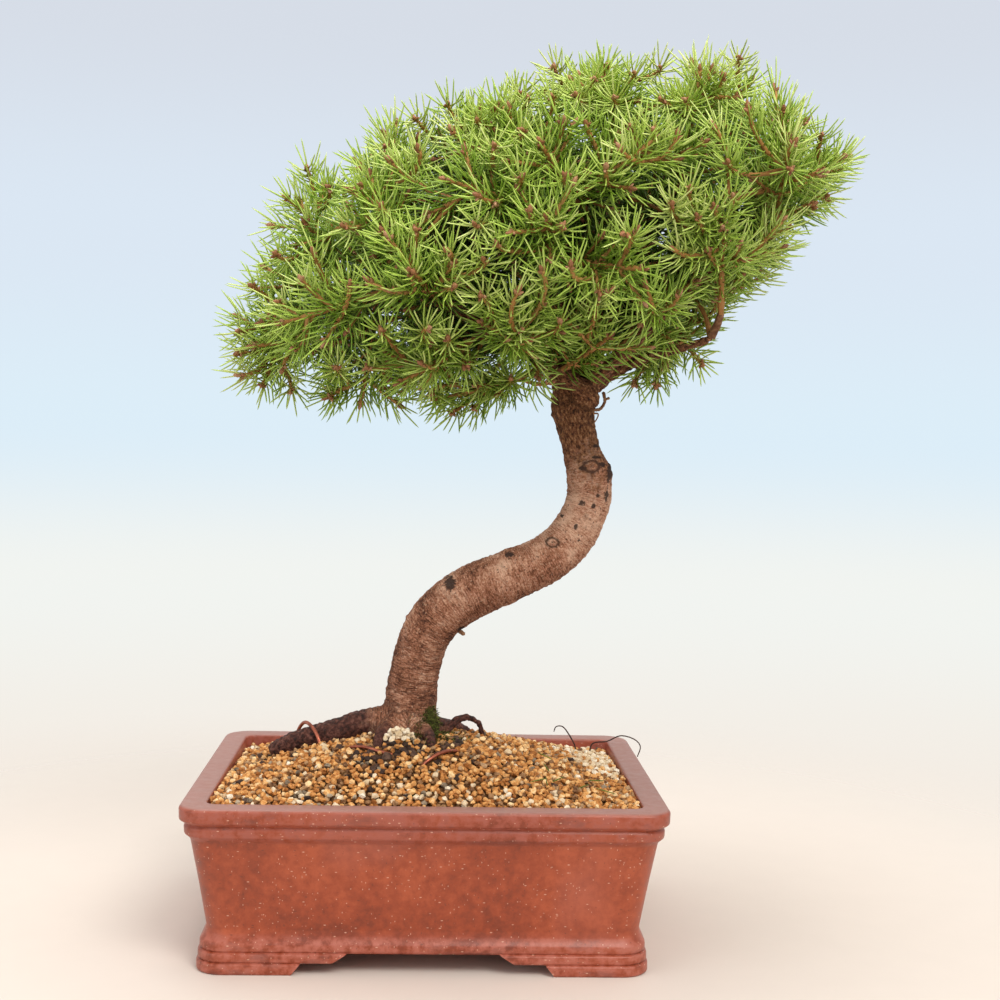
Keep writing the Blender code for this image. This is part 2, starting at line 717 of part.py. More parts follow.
def clear_lateral(rng, clearance, stem, station, side, number):
    """A shoot to one side of a stem at a station, if a place with room is found for it."""
    heading = stem.heading(station)
    root = stem.place(station)
    relatives = [stem.number]
    for others in stem.laterals.values():
        relatives += [other.number for other in others[1:] if other]
    for attempt in range(TRIES):
        angle = math.radians(rng.uniform(*SHOOT_ANGLE))
        length = rng.uniform(*SHOOT_LENGTH) * (1 - 0.03 * attempt)
        aim = heading * math.cos(angle) + side * math.sin(angle)
        aim = turned(aim, heading, rng.uniform(-20, 20))
        place = curved_shoot(root, aim.normalized(), length, rng.uniform(0.0, 0.12))
        if depth_inside(place(1)) < TIP_DEPTH:
            continue
        room = min(shoot_room(clearance, place, SHOOT_RADII, 0, relatives),
                   shoot_room(clearance, place, SHOOT_RADII, 1, (stem.number,)))
        if room > SHOOT_CLEARANCE:
            return Shoot(place, SHOOT_RADII, length, number)
    return None


def placed_spray(rng, clearance, target, perches, number):
    """The branch and the stem of a spray, entered in the clearance."""
    found = clear_spray(rng, clearance, target, perches, number)
    if found is None:
        raise ValueError(f"no room for spray {number}")
    rows, stem = found
    clearance.add_route(rows, number)
    clearance.add_route(shoot_rows(stem.place, stem.radii), stem.number)
    return rows, stem


def grow_laterals(rng, clearance, stem, shoots):
    """Gives a stem its side shoots and returns the number for the next shoot."""
    roll = rng.uniform(0, 180)
    for station in STATIONS:
        roll += rng.uniform(50, 110)
        heading = stem.heading(station)
        side = turned(heading.orthogonal(), heading, roll).normalized()
        stem.laterals[station] = [side]
        for way in (side, -side):
            lateral = clear_lateral(rng, clearance, stem, station, way, shoots)
            stem.laterals[station].append(lateral)
            if lateral:
                clearance.add_route(shoot_rows(lateral.place, lateral.radii), lateral.number)
                shoots += 1
    return shoots


def make_crown():
    """The branches, and the sprays as lists of shoots, with all of them in one clearance."""
    rng = random.Random(CROWN_SEED)
    clearance = Clearance()
    clearance.add_route(trunk_rows(), 0)
    for rows in LIMBS.values():
        clearance.add_route(limb_rows(rows), 0)
    perches = limb_perches()
    grown = []
    for number, target in enumerate(spray_targets(), 1):
        grown.append(placed_spray(rng, clearance, target, perches, number))
    shoots = 2 * FIRST_STEM
    for _, stem in grown:
        shoots = grow_laterals(rng, clearance, stem, shoots)
    for number, target in enumerate(LOW_TARGETS, SPRAYS + 1):
        grown.append(placed_spray(rng, clearance, target, perches, number))
        shoots = grow_laterals(rng, clearance, grown[-1][1], shoots)
    branches, stems = zip(*grown)
    return list(branches), list(stems), clearance


def make_trunk(branches, finish):
    trunk = tube("trunk", trunk_rows(), TRUNK_SIDES, relief=BARK_RELIEF)
    grown = [tube("root", root_rows(rows), ROOT_SIDES) for rows in ROOTS.values()]
    grown += [tube("limb", limb_rows(rows), LIMB_SIDES) for rows in LIMBS.values()]
    grown += [tube("twig", rows, TWIG_SIDES) for rows in TWIGS.values()]
    grown += [tube("branch", rows, BRANCH_SIDES) for rows in branches]
    trunk = combine(trunk, grown, "UNION")
    trunk.data.materials.clear()
    trunk.data.materials.append(finish)
    return trunk


# Sprays with their needles, grown from one three-sided stem

class Foliage:
    """The mesh of one spray: triangles of its stem drawn out to needles and to further shoots."""

    def __init__(self, rng, clearance):
        self.rng = rng
        self.clearance = clearance
        self.points = []
        self.faces = []

    def add_point(self, point):
        self.points.append(Vector(point))
        return len(self.points) - 1

    def ring(self, centre, heading, spoke, radius):
        return [self.add_point(centre + turned(spoke, heading, 120 * side) * radius) for side in range(3)]

    def sides(self, near, far):
        """The six triangles between two rings, and how far each is turned from the first spoke."""
        made = []
        for k in range(3):
            j = (k + 1) % 3
            made.append(((near[k], near[j], far[j]), 120 * k + 90))
            made.append(((near[k], far[j], far[k]), 120 * k + 30))
        return made

    def bare(self, near, far):
        """A plain stretch of stem, its corners joined the shortest way."""
        def twist(order):
            return sum((self.points[a] - self.points[b]).length for a, b in zip(order, far))

        orders = [near[k:] + near[:k] for k in range(3)]
        self.faces += [triangle for triangle, _ in self.sides(min(orders, key=twist), far)]

    def needle(self, triangle, heading, outward, leans, ignore):
        """Draws a triangle out to a needle where there is room for one, and else leaves it flat."""
        root = sum((self.points[index] for index in triangle), Vector()) / 3
        for _ in range(NEEDLE_TRIES):
            lean = math.radians(self.rng.uniform(*leans))
            aim = turned(outward, heading, self.rng.uniform(-NEEDLE_SWING, NEEDLE_SWING))
            aim = heading * math.cos(lean) + aim * math.sin(lean)
            tip = root + aim * self.rng.uniform(*NEEDLE_LENGTH)
            middle = root.lerp(tip, 0.4)
            room = min(self.clearance.room(root, tip, NEEDLE_RADII, ignore),
                       self.clearance.room(middle, tip, NEEDLE_OUTER_RADII, ignore[:1]))
            if room > NEEDLE_CLEARANCE:
                apex = self.add_point(tip)
                a, b, c = triangle
                self.faces += [(a, b, apex), (b, c, apex), (c, a, apex)]
                return (root, tip)
        self.faces.append(triangle)
        return None

    def drawn_out(self, shoot, sides, heading, spoke, lean, ignore=()):
        """Needles from triangles, none of them tested against those of the same whorl."""
        needles = []
        for triangle, turn in sides:
            outward = turned(spoke, heading, turn)
            needles.append(self.needle(triangle, heading, outward, lean, (shoot.number, *ignore)))
        for needle in filter(None, needles):
            self.clearance.add(*needle, NEEDLE_RADII, NEEDLE_OWNER)

    def whorl(self, shoot, t, spoke, near, taken):
        """A short stretch of stem with needles on the triangles that no further shoot has taken."""
        heading = shoot.heading(t)
        far = self.ring(shoot.place(t) + heading * WHORL, heading, spoke, shoot.radius(t))
        sides = self.sides(near, far)
        kept = {index: sides[index][0] for index in taken}
        free = [side for index, side in enumerate(sides) if index not in taken]
        ignore = [lateral.number for lateral in taken.values()]
        self.drawn_out(shoot, free, heading, spoke, NEEDLE_LEAN, ignore)
        return far, kept

    def shoot(self, shoot, near):
        """Grows a shoot from a ring or a triangle to its bud, and then the shoots that leave it."""
        spoke = self.points[near[0]] - shoot.place(0)
        further = []
        for t in shoot.stations():
            heading = shoot.heading(t)
            taken = {}
            if t in shoot.laterals:
                side, right, left = shoot.laterals[t]
                spoke = -heading.cross(side)
                pairs = ((RIGHT_TRIANGLE, right), (LEFT_TRIANGLE, left))
                taken = {index: lateral for index, lateral in pairs if lateral}
            spoke = (spoke - heading * spoke.dot(heading)).normalized()
            ring = self.ring(shoot.place(t), heading, spoke, shoot.radius(t))
            self.bare(near, ring)
            near, kept = self.whorl(shoot, t, spoke, ring, taken)
            further += [(taken[index], kept[index]) for index in taken]
            spoke = turned(spoke, heading, self.rng.uniform(15, 45))
        self.bud(shoot, near)
        for lateral, triangle in further:
            self.shoot(lateral, list(triangle))

    def bud(self, shoot, near):
        """Closes a shoot with its bud, and draws the last needles forward from round it."""
        heading = shoot.heading(1)
        bud = self.add_point(shoot.place(1) + heading * BUD)
        sides = [((near[k], near[(k + 1) % 3], bud), 120 * k + 60) for k in range(3)]
        spoke = self.points[near[0]] - shoot.place(1)
        spoke = (spoke - heading * spoke.dot(heading)).normalized()
        self.drawn_out(shoot, sides, heading, spoke, TIP_NEEDLE_LEAN)


def make_spray(name, stem, rng, clearance, finish):
    foliage = Foliage(rng, clearance)
    heading = stem.heading(0)
    base = foliage.ring(stem.place(0), heading, heading.orthogonal().normalized(), stem.radius(0))
    foliage.faces.append(tuple(reversed(base)))
    foliage.shoot(stem, base)
    return new_object(name, foliage.points, foliage.faces, finish)


def gather(pieces):
    """Scales every piece to metres and hangs it from one empty at the pot's place."""
    holder = bpy.data.objects.new("bonsai", None)
    bpy.context.collection.objects.link(holder)
    holder.location = POT_PLACE
    for piece in pieces:
        piece.data.transform(Matrix.Scale(MM, 4))
        piece.data.shade_smooth()
        piece.data.set_sharp_from_angle(angle=math.radians(SHARP_ANGLE))
        piece.parent = holder


def main():
    remove_everything()
    stoneware = material("stoneware", (0.30, 0.085, 0.055), 0.55)
    substrate = material("soil", (0.45, 0.27, 0.12), 0.9)
    bark = material("bark", (0.26, 0.13, 0.09), 0.85)
    foliage = material("foliage", (0.16, 0.33, 0.05), 0.5)
    copper = material("wire", (0.35, 0.13, 0.08), 0.4, 0.8)
    plastic = material("mesh", (0.02, 0.02, 0.02), 0.6)
    branches, sprays, clearance = make_crown()
    pieces = [make_pot(stoneware), make_soil(substrate), make_trunk(branches, bark)]
    for side, x in (("left", -DRAIN_PLACE), ("right", DRAIN_PLACE)):
        pieces.append(make_drain_mesh("drain_mesh_" + side, x, plastic))
    for side, rows in WIRES.items():
        pieces.append(tube("tie_wire_" + side, wire_rows(rows), WIRE_SIDES, copper))
    rng = random.Random(NEEDLE_SEED)
    for number, stem in enumerate(sprays, 1):
        pieces.append(make_spray(f"spray_{number:02d}", stem, rng, clearance, foliage))
    gather(pieces)


main()
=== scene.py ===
"""The looks of a spruce bonsai in a rectangular footed pot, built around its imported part.

Everything is laid out about the middle of the pot, on the surface that it stands on, in millimetres, as
in the part's own source, and the crown repeats that source's rules so that each fine spray grows where
its plain one stands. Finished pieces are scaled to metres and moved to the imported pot.
"""

import math
import random

import bmesh
import bpy
import numpy as np
from mathutils import Matrix, Vector, kdtree, noise


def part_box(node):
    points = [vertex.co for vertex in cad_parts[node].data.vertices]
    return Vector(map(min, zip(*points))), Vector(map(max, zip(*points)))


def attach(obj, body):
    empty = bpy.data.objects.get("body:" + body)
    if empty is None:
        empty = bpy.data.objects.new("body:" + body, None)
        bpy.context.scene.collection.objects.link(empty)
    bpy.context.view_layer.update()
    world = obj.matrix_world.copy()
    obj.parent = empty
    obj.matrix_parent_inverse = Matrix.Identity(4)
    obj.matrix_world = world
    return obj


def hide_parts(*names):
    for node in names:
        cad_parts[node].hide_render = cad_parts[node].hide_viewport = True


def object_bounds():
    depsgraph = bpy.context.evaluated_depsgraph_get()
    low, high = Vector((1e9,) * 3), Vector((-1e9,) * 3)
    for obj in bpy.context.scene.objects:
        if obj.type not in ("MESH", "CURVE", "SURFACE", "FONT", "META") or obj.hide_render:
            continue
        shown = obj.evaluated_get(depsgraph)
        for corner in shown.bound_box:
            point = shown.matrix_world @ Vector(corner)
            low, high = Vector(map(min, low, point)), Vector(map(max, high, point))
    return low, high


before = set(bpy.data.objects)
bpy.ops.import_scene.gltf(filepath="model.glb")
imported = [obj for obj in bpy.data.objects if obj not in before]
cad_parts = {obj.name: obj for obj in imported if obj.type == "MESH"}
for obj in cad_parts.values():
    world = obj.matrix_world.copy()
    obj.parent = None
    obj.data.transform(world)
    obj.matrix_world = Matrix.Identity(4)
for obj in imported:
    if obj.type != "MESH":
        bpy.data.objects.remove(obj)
CAD_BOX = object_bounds()

# Scale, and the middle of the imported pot
MM = 0.001
POT_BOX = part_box("pot")
POT_MIDDLE = Vector(((POT_BOX[0].x + POT_BOX[1].x) / 2, (POT_BOX[0].y + POT_BOX[1].y) / 2, 0))
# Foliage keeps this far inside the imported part's box
BOX_MARGIN = 0.3
BOX_LOW, BOX_HIGH = (np.array((corner - POT_MIDDLE) / MM) for corner in CAD_BOX)

# Camera: the photograph's frame, the eye about the pot's middle, and its turns in degrees
PHOTO_WIDTH = 1000
FOCAL_PIXELS = 1525.0
SENSOR_WIDTH = 36.0
EYE = Vector((-1, -760, 248))
YAW, PITCH, ROLL = 2.61, 2.67, 1.30

# Pot
RIM_HALF = (111.0, 89.0)
POT_HEIGHT = 77.0
RIM_CORNER = 12.0
INNER_CORNER = 6.0
RIM_WALL = 12.0
FLOOR_TOP = 17.0
FLOOR_UNDERSIDE = 9.8
INNER_TAPER = 5.0
POT_CORNER_STEPS = 9
EDGE_ROUNDING, MOST_ROUNDING = 0.5, 0.42
POT_SHARP = 38
# The bevel inside the rim: how wide and how deep
RIM_BEVEL = (0.8, 0.9)
# Outer wall from the table up: height, and how far the wall lies inside the rim's outline
OUTER_WALL = (
    (0.0, 8.3), (0.7, 7.6), (4.7, 7.6), (5.3, 8.9), (5.9, 8.1), (9.3, 8.2), (9.9, 9.6), (10.5, 8.8),
    (13.6, 8.9), (15.0, 10.0), (17.0, 11.0), (19.5, 11.4), (40.0, 8.2), (61.0, 4.6), (62.5, 3.4),
    (63.8, 2.2), (67.2, 2.0), (68.5, 2.9), (69.4, 1.4), (70.6, 0.1), (75.8, 0.0), (77.0, 1.2),
)
# Arches between the feet: half width and height at each corner, from the table up
FRONT_ARCH = ((60.5, -1.0), (55.5, 5.3), (41.5, 5.3), (34.5, 9.8))
SIDE_ARCH = ((38.5, -1.0), (33.5, 5.3), (20.5, 5.3), (13.5, 9.8))
FOOT_THICKNESS = 15.0
DRAIN_PLACE = 48.0
DRAIN_RADIUS = 9.0
DRAIN_SIDES = 48
# How far the cutters of arches and drainage holes reach past the pot
ARCH_PAST, DRAIN_PAST = 5, 2

# Soil: its level at the walls, and the mound that the trunk stands on
SOIL_LEVEL = 73.8
SOIL_FALL_TO_BACK = 2.8
MOUND_HEIGHT = 23.0
MOUND_TOP_X = -8.0
# How far the mound reaches to the left, to the right and in depth, and the power by which it falls off
MOUND_LEFT = (90.0, 2.0)
MOUND_RIGHT = (108.0, 1.5)
MOUND_DEPTH = (77.0, 2.2)
SOIL_BOTTOM = 18.8
# The fine bed: its grid, how far it lies below the mound and off the walls, its relief and its sharp edges
BED_PITCH, BED_DEPTH, BED_MARGIN = 3.2, 1.7, 0.4
BED_RELIEF, BED_SCALE = 0.5, 0.4
BED_SHARP = 50
GRAIN_SEED = 5

# Trunk, from below the soil to the fork: x, y, z, radius
TRUNK = (
    (-11, 0, 56, 9), (-11, 0, 80, 16), (-11, 0, 92, 18), (-10, 0, 99, 16.5), (-9, 0, 106, 13.6),
    (-8.5, 0, 116, 12.7), (-7, -1, 126, 12.4), (-4.5, -2, 137, 12.4), (-1, -3, 147, 12.6),
    (6, -4, 156, 13), (15, -5, 163.5, 13.2), (27, -5, 170, 13.2), (40, -5, 175.5, 12.8),
    (53, -4, 181.5, 12.3), (64, -3, 189, 12), (72, -2, 199, 11.6), (76.5, -1, 208.5, 11.2),
    (78.5, 0, 217.5, 11.2), (77.5, 0, 226, 11), (75, 1, 234, 9.8), (72.5, 1, 243, 9.2),
    (70.5, 1, 252, 9.6), (69, 1, 260, 11), (67, 2, 270, 8.6), (66, 4, 290, 6.8), (65, 7, 315, 5.8),
    (73, 9, 345, 4.6), (84, 6, 372, 3.4), (90, 4, 390, 2.6),
)
TRUNK_STEPS = 1
# Rows of the trunk in and just above the soil, and those of its foot, up past the moss
SOIL_ROWS, FOOT_ROWS = 6, 9
# Steps between given places of the wood and wires that grains keep off
ROD_STEPS = 3

# Roots that show on the soil: x, y, z, radius along each
ROOTS = {
    "left": ((-10, 0, 101, 9), (-27, -1, 100.5, 7.4), (-48, -4, 95, 6.3), (-64, -3, 90.5, 5.4),
             (-77, -2, 85, 4)),
    "front": ((-13, -4, 100, 6), (-21, -14, 97.5, 4.6), (-23.5, -22, 93, 3.6), (-24.5, -31, 88.5, 3.4),
              (-19, -40, 84.5, 3.8)),
    "right_front": ((-6, -5, 99, 5), (0, -16, 97.5, 3.4), (2, -27, 92.5, 2.6), (2.5, -37, 86, 2)),
    "arch": ((-4, 0, 98, 4.4), (8, -4, 96.5, 2.7), (14, -2, 101.5, 2), (20, 1, 102.6, 1.9),
             (26, 4, 98.5, 1.7), (29, 6, 87, 1.6)),
    "back": ((-10, 4, 99, 6), (-13, 17, 97, 4.8), (-17, 31, 92, 3.8), (-22, 44, 84, 2.8)),
    "back_right": ((-6, 5, 99, 5), (6, 16, 96, 3.8), (17, 27, 91.5, 3), (26, 36, 84, 2.2)),
}

# Limbs, from inside the trunk to their ends: x, y, z, radius along each
LIMBS = {
    "left": ((68, 1, 266, 6.5), (60, -8, 277, 5.6), (48, -14, 285, 5), (20, -20, 296, 4.2),
             (-15, -17, 306, 3.4), (-46, -10, 313, 2.6)),
    "left_back": ((66, 4, 282, 5), (44, 30, 298, 4.2), (14, 48, 313, 3.4), (-20, 52, 327, 2.6)),
    "left_front": ((60, -8, 277, 4.6), (36, -34, 290, 3.8), (6, -54, 304, 3.2), (-22, -60, 316, 2.4)),
    "left_top": ((65, 7, 306, 4.6), (44, 2, 328, 3.8), (14, 4, 347, 3.2), (-16, 6, 358, 2.5)),
    "front": ((67, 2, 276, 5), (60, -32, 300, 4), (52, -56, 326, 3.2), (50, -66, 348, 2.4)),
    "middle": ((68, 2, 270, 5.6), (79, -12, 298, 4.8), (85, -18, 322, 4.2), (101, -20, 339, 3.6),
               (106, -20, 362, 3), (116, -20, 382, 2.4)),
    "dark": ((76, -8, 300, 3.6), (80, 4, 326, 3.2), (71, 18, 346, 2.8), (58, 30, 366, 2.4)),
    "right": ((70, 2, 264, 6), (100, 8, 289, 5), (120, 10, 307, 4.4), (136, 12, 325, 3.8),
              (147, 12, 348, 3.2), (160, 10, 368, 2.6)),
    "right_low": ((118, 10, 305, 3.6), (131, 2, 321, 3.2), (150, -6, 331, 2.8), (166, -10, 347, 2.3)),
    "right_front": ((72, 0, 266, 4.6), (86, -20, 282, 4), (108, -44, 306, 3.4), (132, -54, 330, 2.5)),
    "thin": ((74, 0, 266, 3.4), (84, -8, 274, 2.9), (103, -20, 284, 2.4), (128, -28, 292, 1.9),
             (133, -30, 296, 1.6)),
    "back": ((67, 4, 280, 5), (78, 36, 304, 4.2), (90, 58, 330, 3.4), (98, 66, 354, 2.5)),
    "back_right": ((80, 36, 306, 3.8), (112, 52, 322, 3.2), (140, 56, 344, 2.5)),
}
LIMB_STEPS = 1
PERCH_STEPS = 3

# Dead twigs on the trunk
TWIGS = {
    "stub": ((8, -5, 153, 1.6), (14, -5.5, 147.8, 1.2), (17, -6, 145.6, 1)),
    "curl": ((73, -4, 256, 1.4), (79, -4, 258.3, 0.9), (82.2, -4, 259, 0.8), (84.4, -4, 262.6, 0.75),
             (83.7, -4, 267.2, 0.9)),
}

# Crown: the outline of its needle tips seen from the front, its half depth, and its middle
OUTLINE = (
    (-106, 286), (-101, 318), (-84, 354), (-60, 379), (-19, 403), (30, 420), (73, 436), (110, 431),
    (148, 439), (180, 417), (210, 389), (187, 348), (150, 315), (127, 279), (84, 272), (43, 258),
    (0, 255), (-49, 253), (-88, 260),
)
CROWN_MIDDLE = Vector((55, 0, 335))
CROWN_HALF_DEPTH = 112.0
SPRAYS = 48
# What one more spray, below the rest and left of the fork, reaches for
LOW_TARGETS = (Vector((-2, -34, 254)),)
# Even headings to choose the sprays' places from, none of them lower than this
LOWEST_HEADING = -0.62
CANDIDATES = 1200
CROWN_SEED = 11

# Branches that carry the sprays, each with a gap before its spray's stem
GAP = 0.35
BRANCH_RADII = (2.3, 1.7)
BRANCH_STEPS = 2
BRANCH_REACH_BACK = 0.2
BRANCH_LEAST = 7.0
SHORTEST_WAY = 58.0
# What a branch's length is multiplied by: less the more it goes on as its limb does. Short ways cost more
WAY_COST, TURN_COST, SHORT_COST = 1.35, 0.35, 4

# Spray: a stem with two shoots at each of two stations
SPRAY_LENGTH = (46.0, 58.0)
TIP_TO_OUTLINE = 10.0
TIP_DEPTH = 7.0
STATIONS = (0.36, 0.68)
# Degrees round the stem from the shoots of one station to those of the next
STATION_TURN = (50, 110)
STEM_RADII = (1.5, 1.0)
SHOOT_RADII = (1.05, 0.8)
SHOOT_LENGTH = (18.0, 26.0)
SHOOT_ANGLE = (44.0, 62.0)
SHOOT_CLEARANCE = 1.6
# How far a shoot, and a stem at each further try, turns from its aim in degrees, and how much they bend up
STEM_SWING, SHOOT_SWING = 3.0, 20
STEM_LIFT, SHOOT_LIFT = (0.02, 0.1), (0.0, 0.12)
# Share of its length that a shoot loses at each further try
SHORTER = 0.03
TRIES = 10
PERCH_TRIES = 30
# Rods are numbered: limbs 0, branches from 1, stems from here, and then the shoots on the stems
FIRST_STEM = 100
BUD = 2.6
BUD_POINT = 0.3
SHOOT_STEPS = 4
# Shares of a shoot, and of other wood, before and behind a place between which its heading is taken
SHOOT_SPAN, RUN_SPAN = 0.02, 0.03

# Tie wires: x, y, z along each, both ends in the soil
WIRES = {
    "left": ((-67, 13, 80), (-66, 9.5, 91.5), (-62.5, 3, 98.3), (-58.5, -5.5, 99.2), (-54, -12.5, 94.5),
             (-51, -16, 84)),
    "middle": ((-43, -21, 82), (-40, -24, 90.5), (-32, -30, 93.6), (-24, -35, 92.8), (-15, -37, 90),
               (-11, -38, 81)),
    "right": ((-5, -50, 79), (-3, -48, 87.5), (3, -44, 92.4), (10, -36, 93.4), (15, -30, 91),
              (17, -28, 82)),
}
WIRE_RADIUS = 0.9


# Fine foliage
GOLDEN_TURN = math.pi * (3 - math.sqrt(5))
NEEDLE_RADIUS = 0.47
# Rings of a needle, and of a plainer one deep in the crown or in moss: share of its length and of its radius
NEEDLE_RINGS = ((0.0, 0.75), (0.4, 1.0), (0.88, 0.78))
PLAIN_NEEDLE_RINGS = ((0.0, 0.75), (0.6, 1.0))
# Needles of outer shoots, of deeper ones and of those on the limbs: how many a millimetre, lengths, rings
OUTER_NEEDLES = (1.55, (11.0, 14.4), NEEDLE_RINGS)
DEEP_NEEDLES = (1.55, (11.0, 14.4), PLAIN_NEEDLE_RINGS)
INNER_NEEDLES = (1.15, (9.5, 13.0), PLAIN_NEEDLE_RINGS)
# Lean of the needles away from their shoot, at its root and at its tip
ROOT_LEAN, TIP_LEAN = 71.0, 55.0
LEAN_SWING, LEAN_POWER = 5.0, 2.2
# Needles round the bud, from this share of a shoot on, lean less
BUD_WHORL = 0.94
BUD_LEAN = (20.0, 56.0)
# Foliage is this much darker for each millimetre inside the crown, from this depth on, over so many of them
DEPTH_SHADE, DEPTH_FROM, DEPTH_OVER = 0.0088, 14.0, 44.0
SHADE_SHARES = (0.0, 0.5, 1.0)
NEEDLE_BEND = 0.40
NEEDLE_RISE = 0.07
# How much the bend varies, and how much of it turns back to the shoot
BEND_RANGE, BEND_BACK = (0.6, 1.3), 0.05
# Fewest needles on a shoot, where each stands in its own stretch, and the spread of their tints
LEAST_NEEDLES, NEEDLE_STRAY, NEEDLE_TINTS = 6, (0.2, 0.8), 0.08
# Needles are yellower towards their shoot's tip, by so much over its length, from this share of it on
YOUNG_TINT, YOUNG_FROM = 0.28, 0.55
# A spray's tint: its mean, what height adds as painted light from above, what the left adds, and its patches,
# with their scale
SPRAY_TINT, TOP_LIGHT_TINT, LEFT_TINT, PATCH_TINT, PATCH_SCALE = 0.54, 0.08, 0.05, 0.24, 0.035
# How far one shoot's tint may lie off its spray's, and the bare shares of a stem and of its side shoots
SHOOT_TINTS, STEM_BARE, LATERAL_BARE = 0.14, 0.12, 0.1
# Shoots deep in the crown: their tint, darker than the sprays' as painted shade, how far one's may lie off
# it, and their bare share
INNER_SHADED_TINT, INNER_TINTS, INNER_BARE = 0.24, 0.08, 0.05
# Range of tints that one shoot's twig is drawn from, outside and deep in the crown, where it is darker as
# painted shade
TWIG_TINTS, INNER_SHADED_TWIG_TINTS = (0.3, 0.8), (0.1, 0.5)
BUD_TINTS = (0.2, 0.9)
FINE_SEED = 31
SIDE_SHOOT_LENGTH = (14.0, 21.0)
SIDE_SHOOT_ANGLE = (40.0, 62.0)
SIDE_SHOOT_PLACE = 0.16
SIDE_SHOOT_RADII = (1.0, 0.8)
SIDE_SHOOT_SWING, SIDE_SHOOT_LIFT, SIDE_SHORTER = 35, (0.0, 0.15), 0.04
# Degrees round the wood from one short shoot to the next
SPIRAL = 137.5
# Shoots that fill the crown between the sprays: share of the shell's reach, how many, how much lighter, below
# zero darker as painted shade deep in the crown, longest
FILL_SHELLS = (
    (0.98, 30, 0.02, 46.0), (0.78, 44, -0.10, 52.0), (0.56, 60, -0.3, 60.0), (0.36, 40, -0.3, 60.0),
)
# Shoots of shells below this share have plain needles and one bud each
PLAIN_SHARE = 0.6
# Least share of a filling shoot that is bare, and the bare share of the short ones at its sides
FILL_BARE, FILL_SIDE_BARE = 0.05, 0.08
# Where the short ones stand on its leafy part, and how far its tint may lie off the sprays' beside it
FILL_SIDE_PLACE, FILL_TINTS, SEEN_TINTS = (0.15, 0.45), (-0.12, 0.12), (-0.04, 0.16)
# Places along a branch, a stem and a stem's side shoot where a filling shoot may leave
BRANCH_PERCHES, STEM_PERCHES, LATERAL_PERCHES = (0.3, 0.6, 0.9), (0.1, 0.3, 0.5, 0.75), (0.4,)
FILL_LENGTH = (26.0, 36.0)
FILL_SIDE_LENGTH = (15.0, 22.0)
FILL_STEM_RADII = (1.2, 0.92)
FILL_LEAST = 14.0
# How far along its arc such a shoot's bend lies
ARC_BEND = 0.45
FILL_TRIES = 14
FILL_PIECES = 4
FILL_SEED = 17
# Shoots on the crown's front, most as the photograph shows them and a few that only close a gap or cover a
# branch: the bud's place in the photograph, and a lower place of the shoot
SEEN_SHOOTS = (
    (307, 169, 315, 186), (286, 198, 312, 213), (276, 255, 292, 270), (313, 252, 324, 284),
    (302, 280, 324, 309), (252, 286, 278, 300), (344, 226, 366, 236), (361, 185, 367, 200),
    (329, 188, 333, 202), (390, 161, 438, 210), (419, 150, 430, 183), (452, 130, 469, 157),
    (448, 104, 450, 122), (415, 119, 425, 130), (477, 120, 478, 133), (381, 206, 388, 222),
    (383, 231, 403, 258), (416, 230, 424, 240), (478, 196, 510, 216), (448, 251, 470, 262),
    (475, 225, 482, 240), (410, 272, 420, 298), (369, 281, 406, 309), (350, 284, 350, 312),
    (278, 303, 300, 311), (271, 316, 285, 330), (238, 332, 250, 337), (294, 348, 318, 364),
    (238, 354, 262, 352), (241, 375, 278, 375), (336, 368, 340, 372), (367, 368, 372, 374),
    (381, 330, 385, 336), (422, 364, 450, 382), (448, 338, 452, 345), (428, 328, 410, 333),
    (331, 397, 333, 385), (291, 392, 296, 380), (262, 385, 270, 372), (432, 393, 428, 380),
    (530, 212, 529, 248), (562, 226, 566, 240), (625, 234, 653, 235), (542, 270, 556, 297),
    (571, 266, 573, 302), (610, 292, 582, 323), (646, 285, 660, 332), (679, 295, 661, 331),
    (518, 291, 499, 329), (481, 296, 490, 300), (530, 340, 510, 352), (468, 366, 474, 372),
    (511, 379, 514, 386), (549, 383, 516, 394), (454, 286, 446, 292), (507, 340, 500, 345),
    (494, 109, 492, 125), (519, 93, 522, 100), (528, 98, 529, 112), (554, 68, 560, 85),
    (606, 66, 600, 80), (594, 79, 590, 90), (634, 74, 634, 90), (576, 95, 581, 112),
    (552, 97, 561, 112), (614, 98, 615, 116), (563, 122, 562, 155), (586, 124, 594, 150),
    (620, 148, 650, 192), (522, 131, 523, 145), (494, 146, 490, 162), (522, 176, 521, 196),
    (566, 176, 553, 194), (606, 168, 604, 195), (631, 127, 636, 140), (660, 68, 662, 80),
    (700, 70, 700, 108), (739, 58, 735, 72), (723, 77, 715, 100), (662, 100, 678, 114),
    (748, 108, 754, 150), (783, 110, 776, 142), (794, 143, 774, 172), (821, 136, 815, 152),
    (842, 157, 822, 170), (819, 172, 786, 186), (677, 136, 668, 180), (714, 126, 752, 180),
    (654, 130, 662, 140), (685, 100, 690, 112), (813, 208, 790, 212), (826, 196, 805, 200),
    (723, 228, 728, 240), (673, 249, 694, 268), (790, 228, 770, 240), (760, 268, 740, 278),
    (634, 384, 642, 368), (656, 386, 658, 366), (702, 364, 692, 350), (733, 196, 736, 216),
    (714, 206, 722, 228), (740, 244, 732, 266), (708, 250, 716, 272), (716, 300, 720, 320),
    (728, 162, 732, 180), (697, 216, 704, 236), (742, 276, 728, 292), (497, 244, 504, 262),
    (484, 260, 494, 276), (672, 204, 668, 222), (690, 188, 684, 206), (452, 413, 466, 402),
    (474, 408, 482, 396), (436, 402, 450, 394), (598, 300, 594, 322), (560, 322, 562, 340),
)
# Length of such a shoot between its two places, and how much deeper the lower one lies at least
SEEN_LENGTH = 20.0
SEEN_LEAST_DEPTH = 6.0
# How far a shoot without room is moved in, one after the other, and its least and greatest whole length
SEEN_SHIFTS = (0.0, 7.0, 14.0)
SEEN_REACH = (14.0, 62.0)
SEEN_TRIES = 16
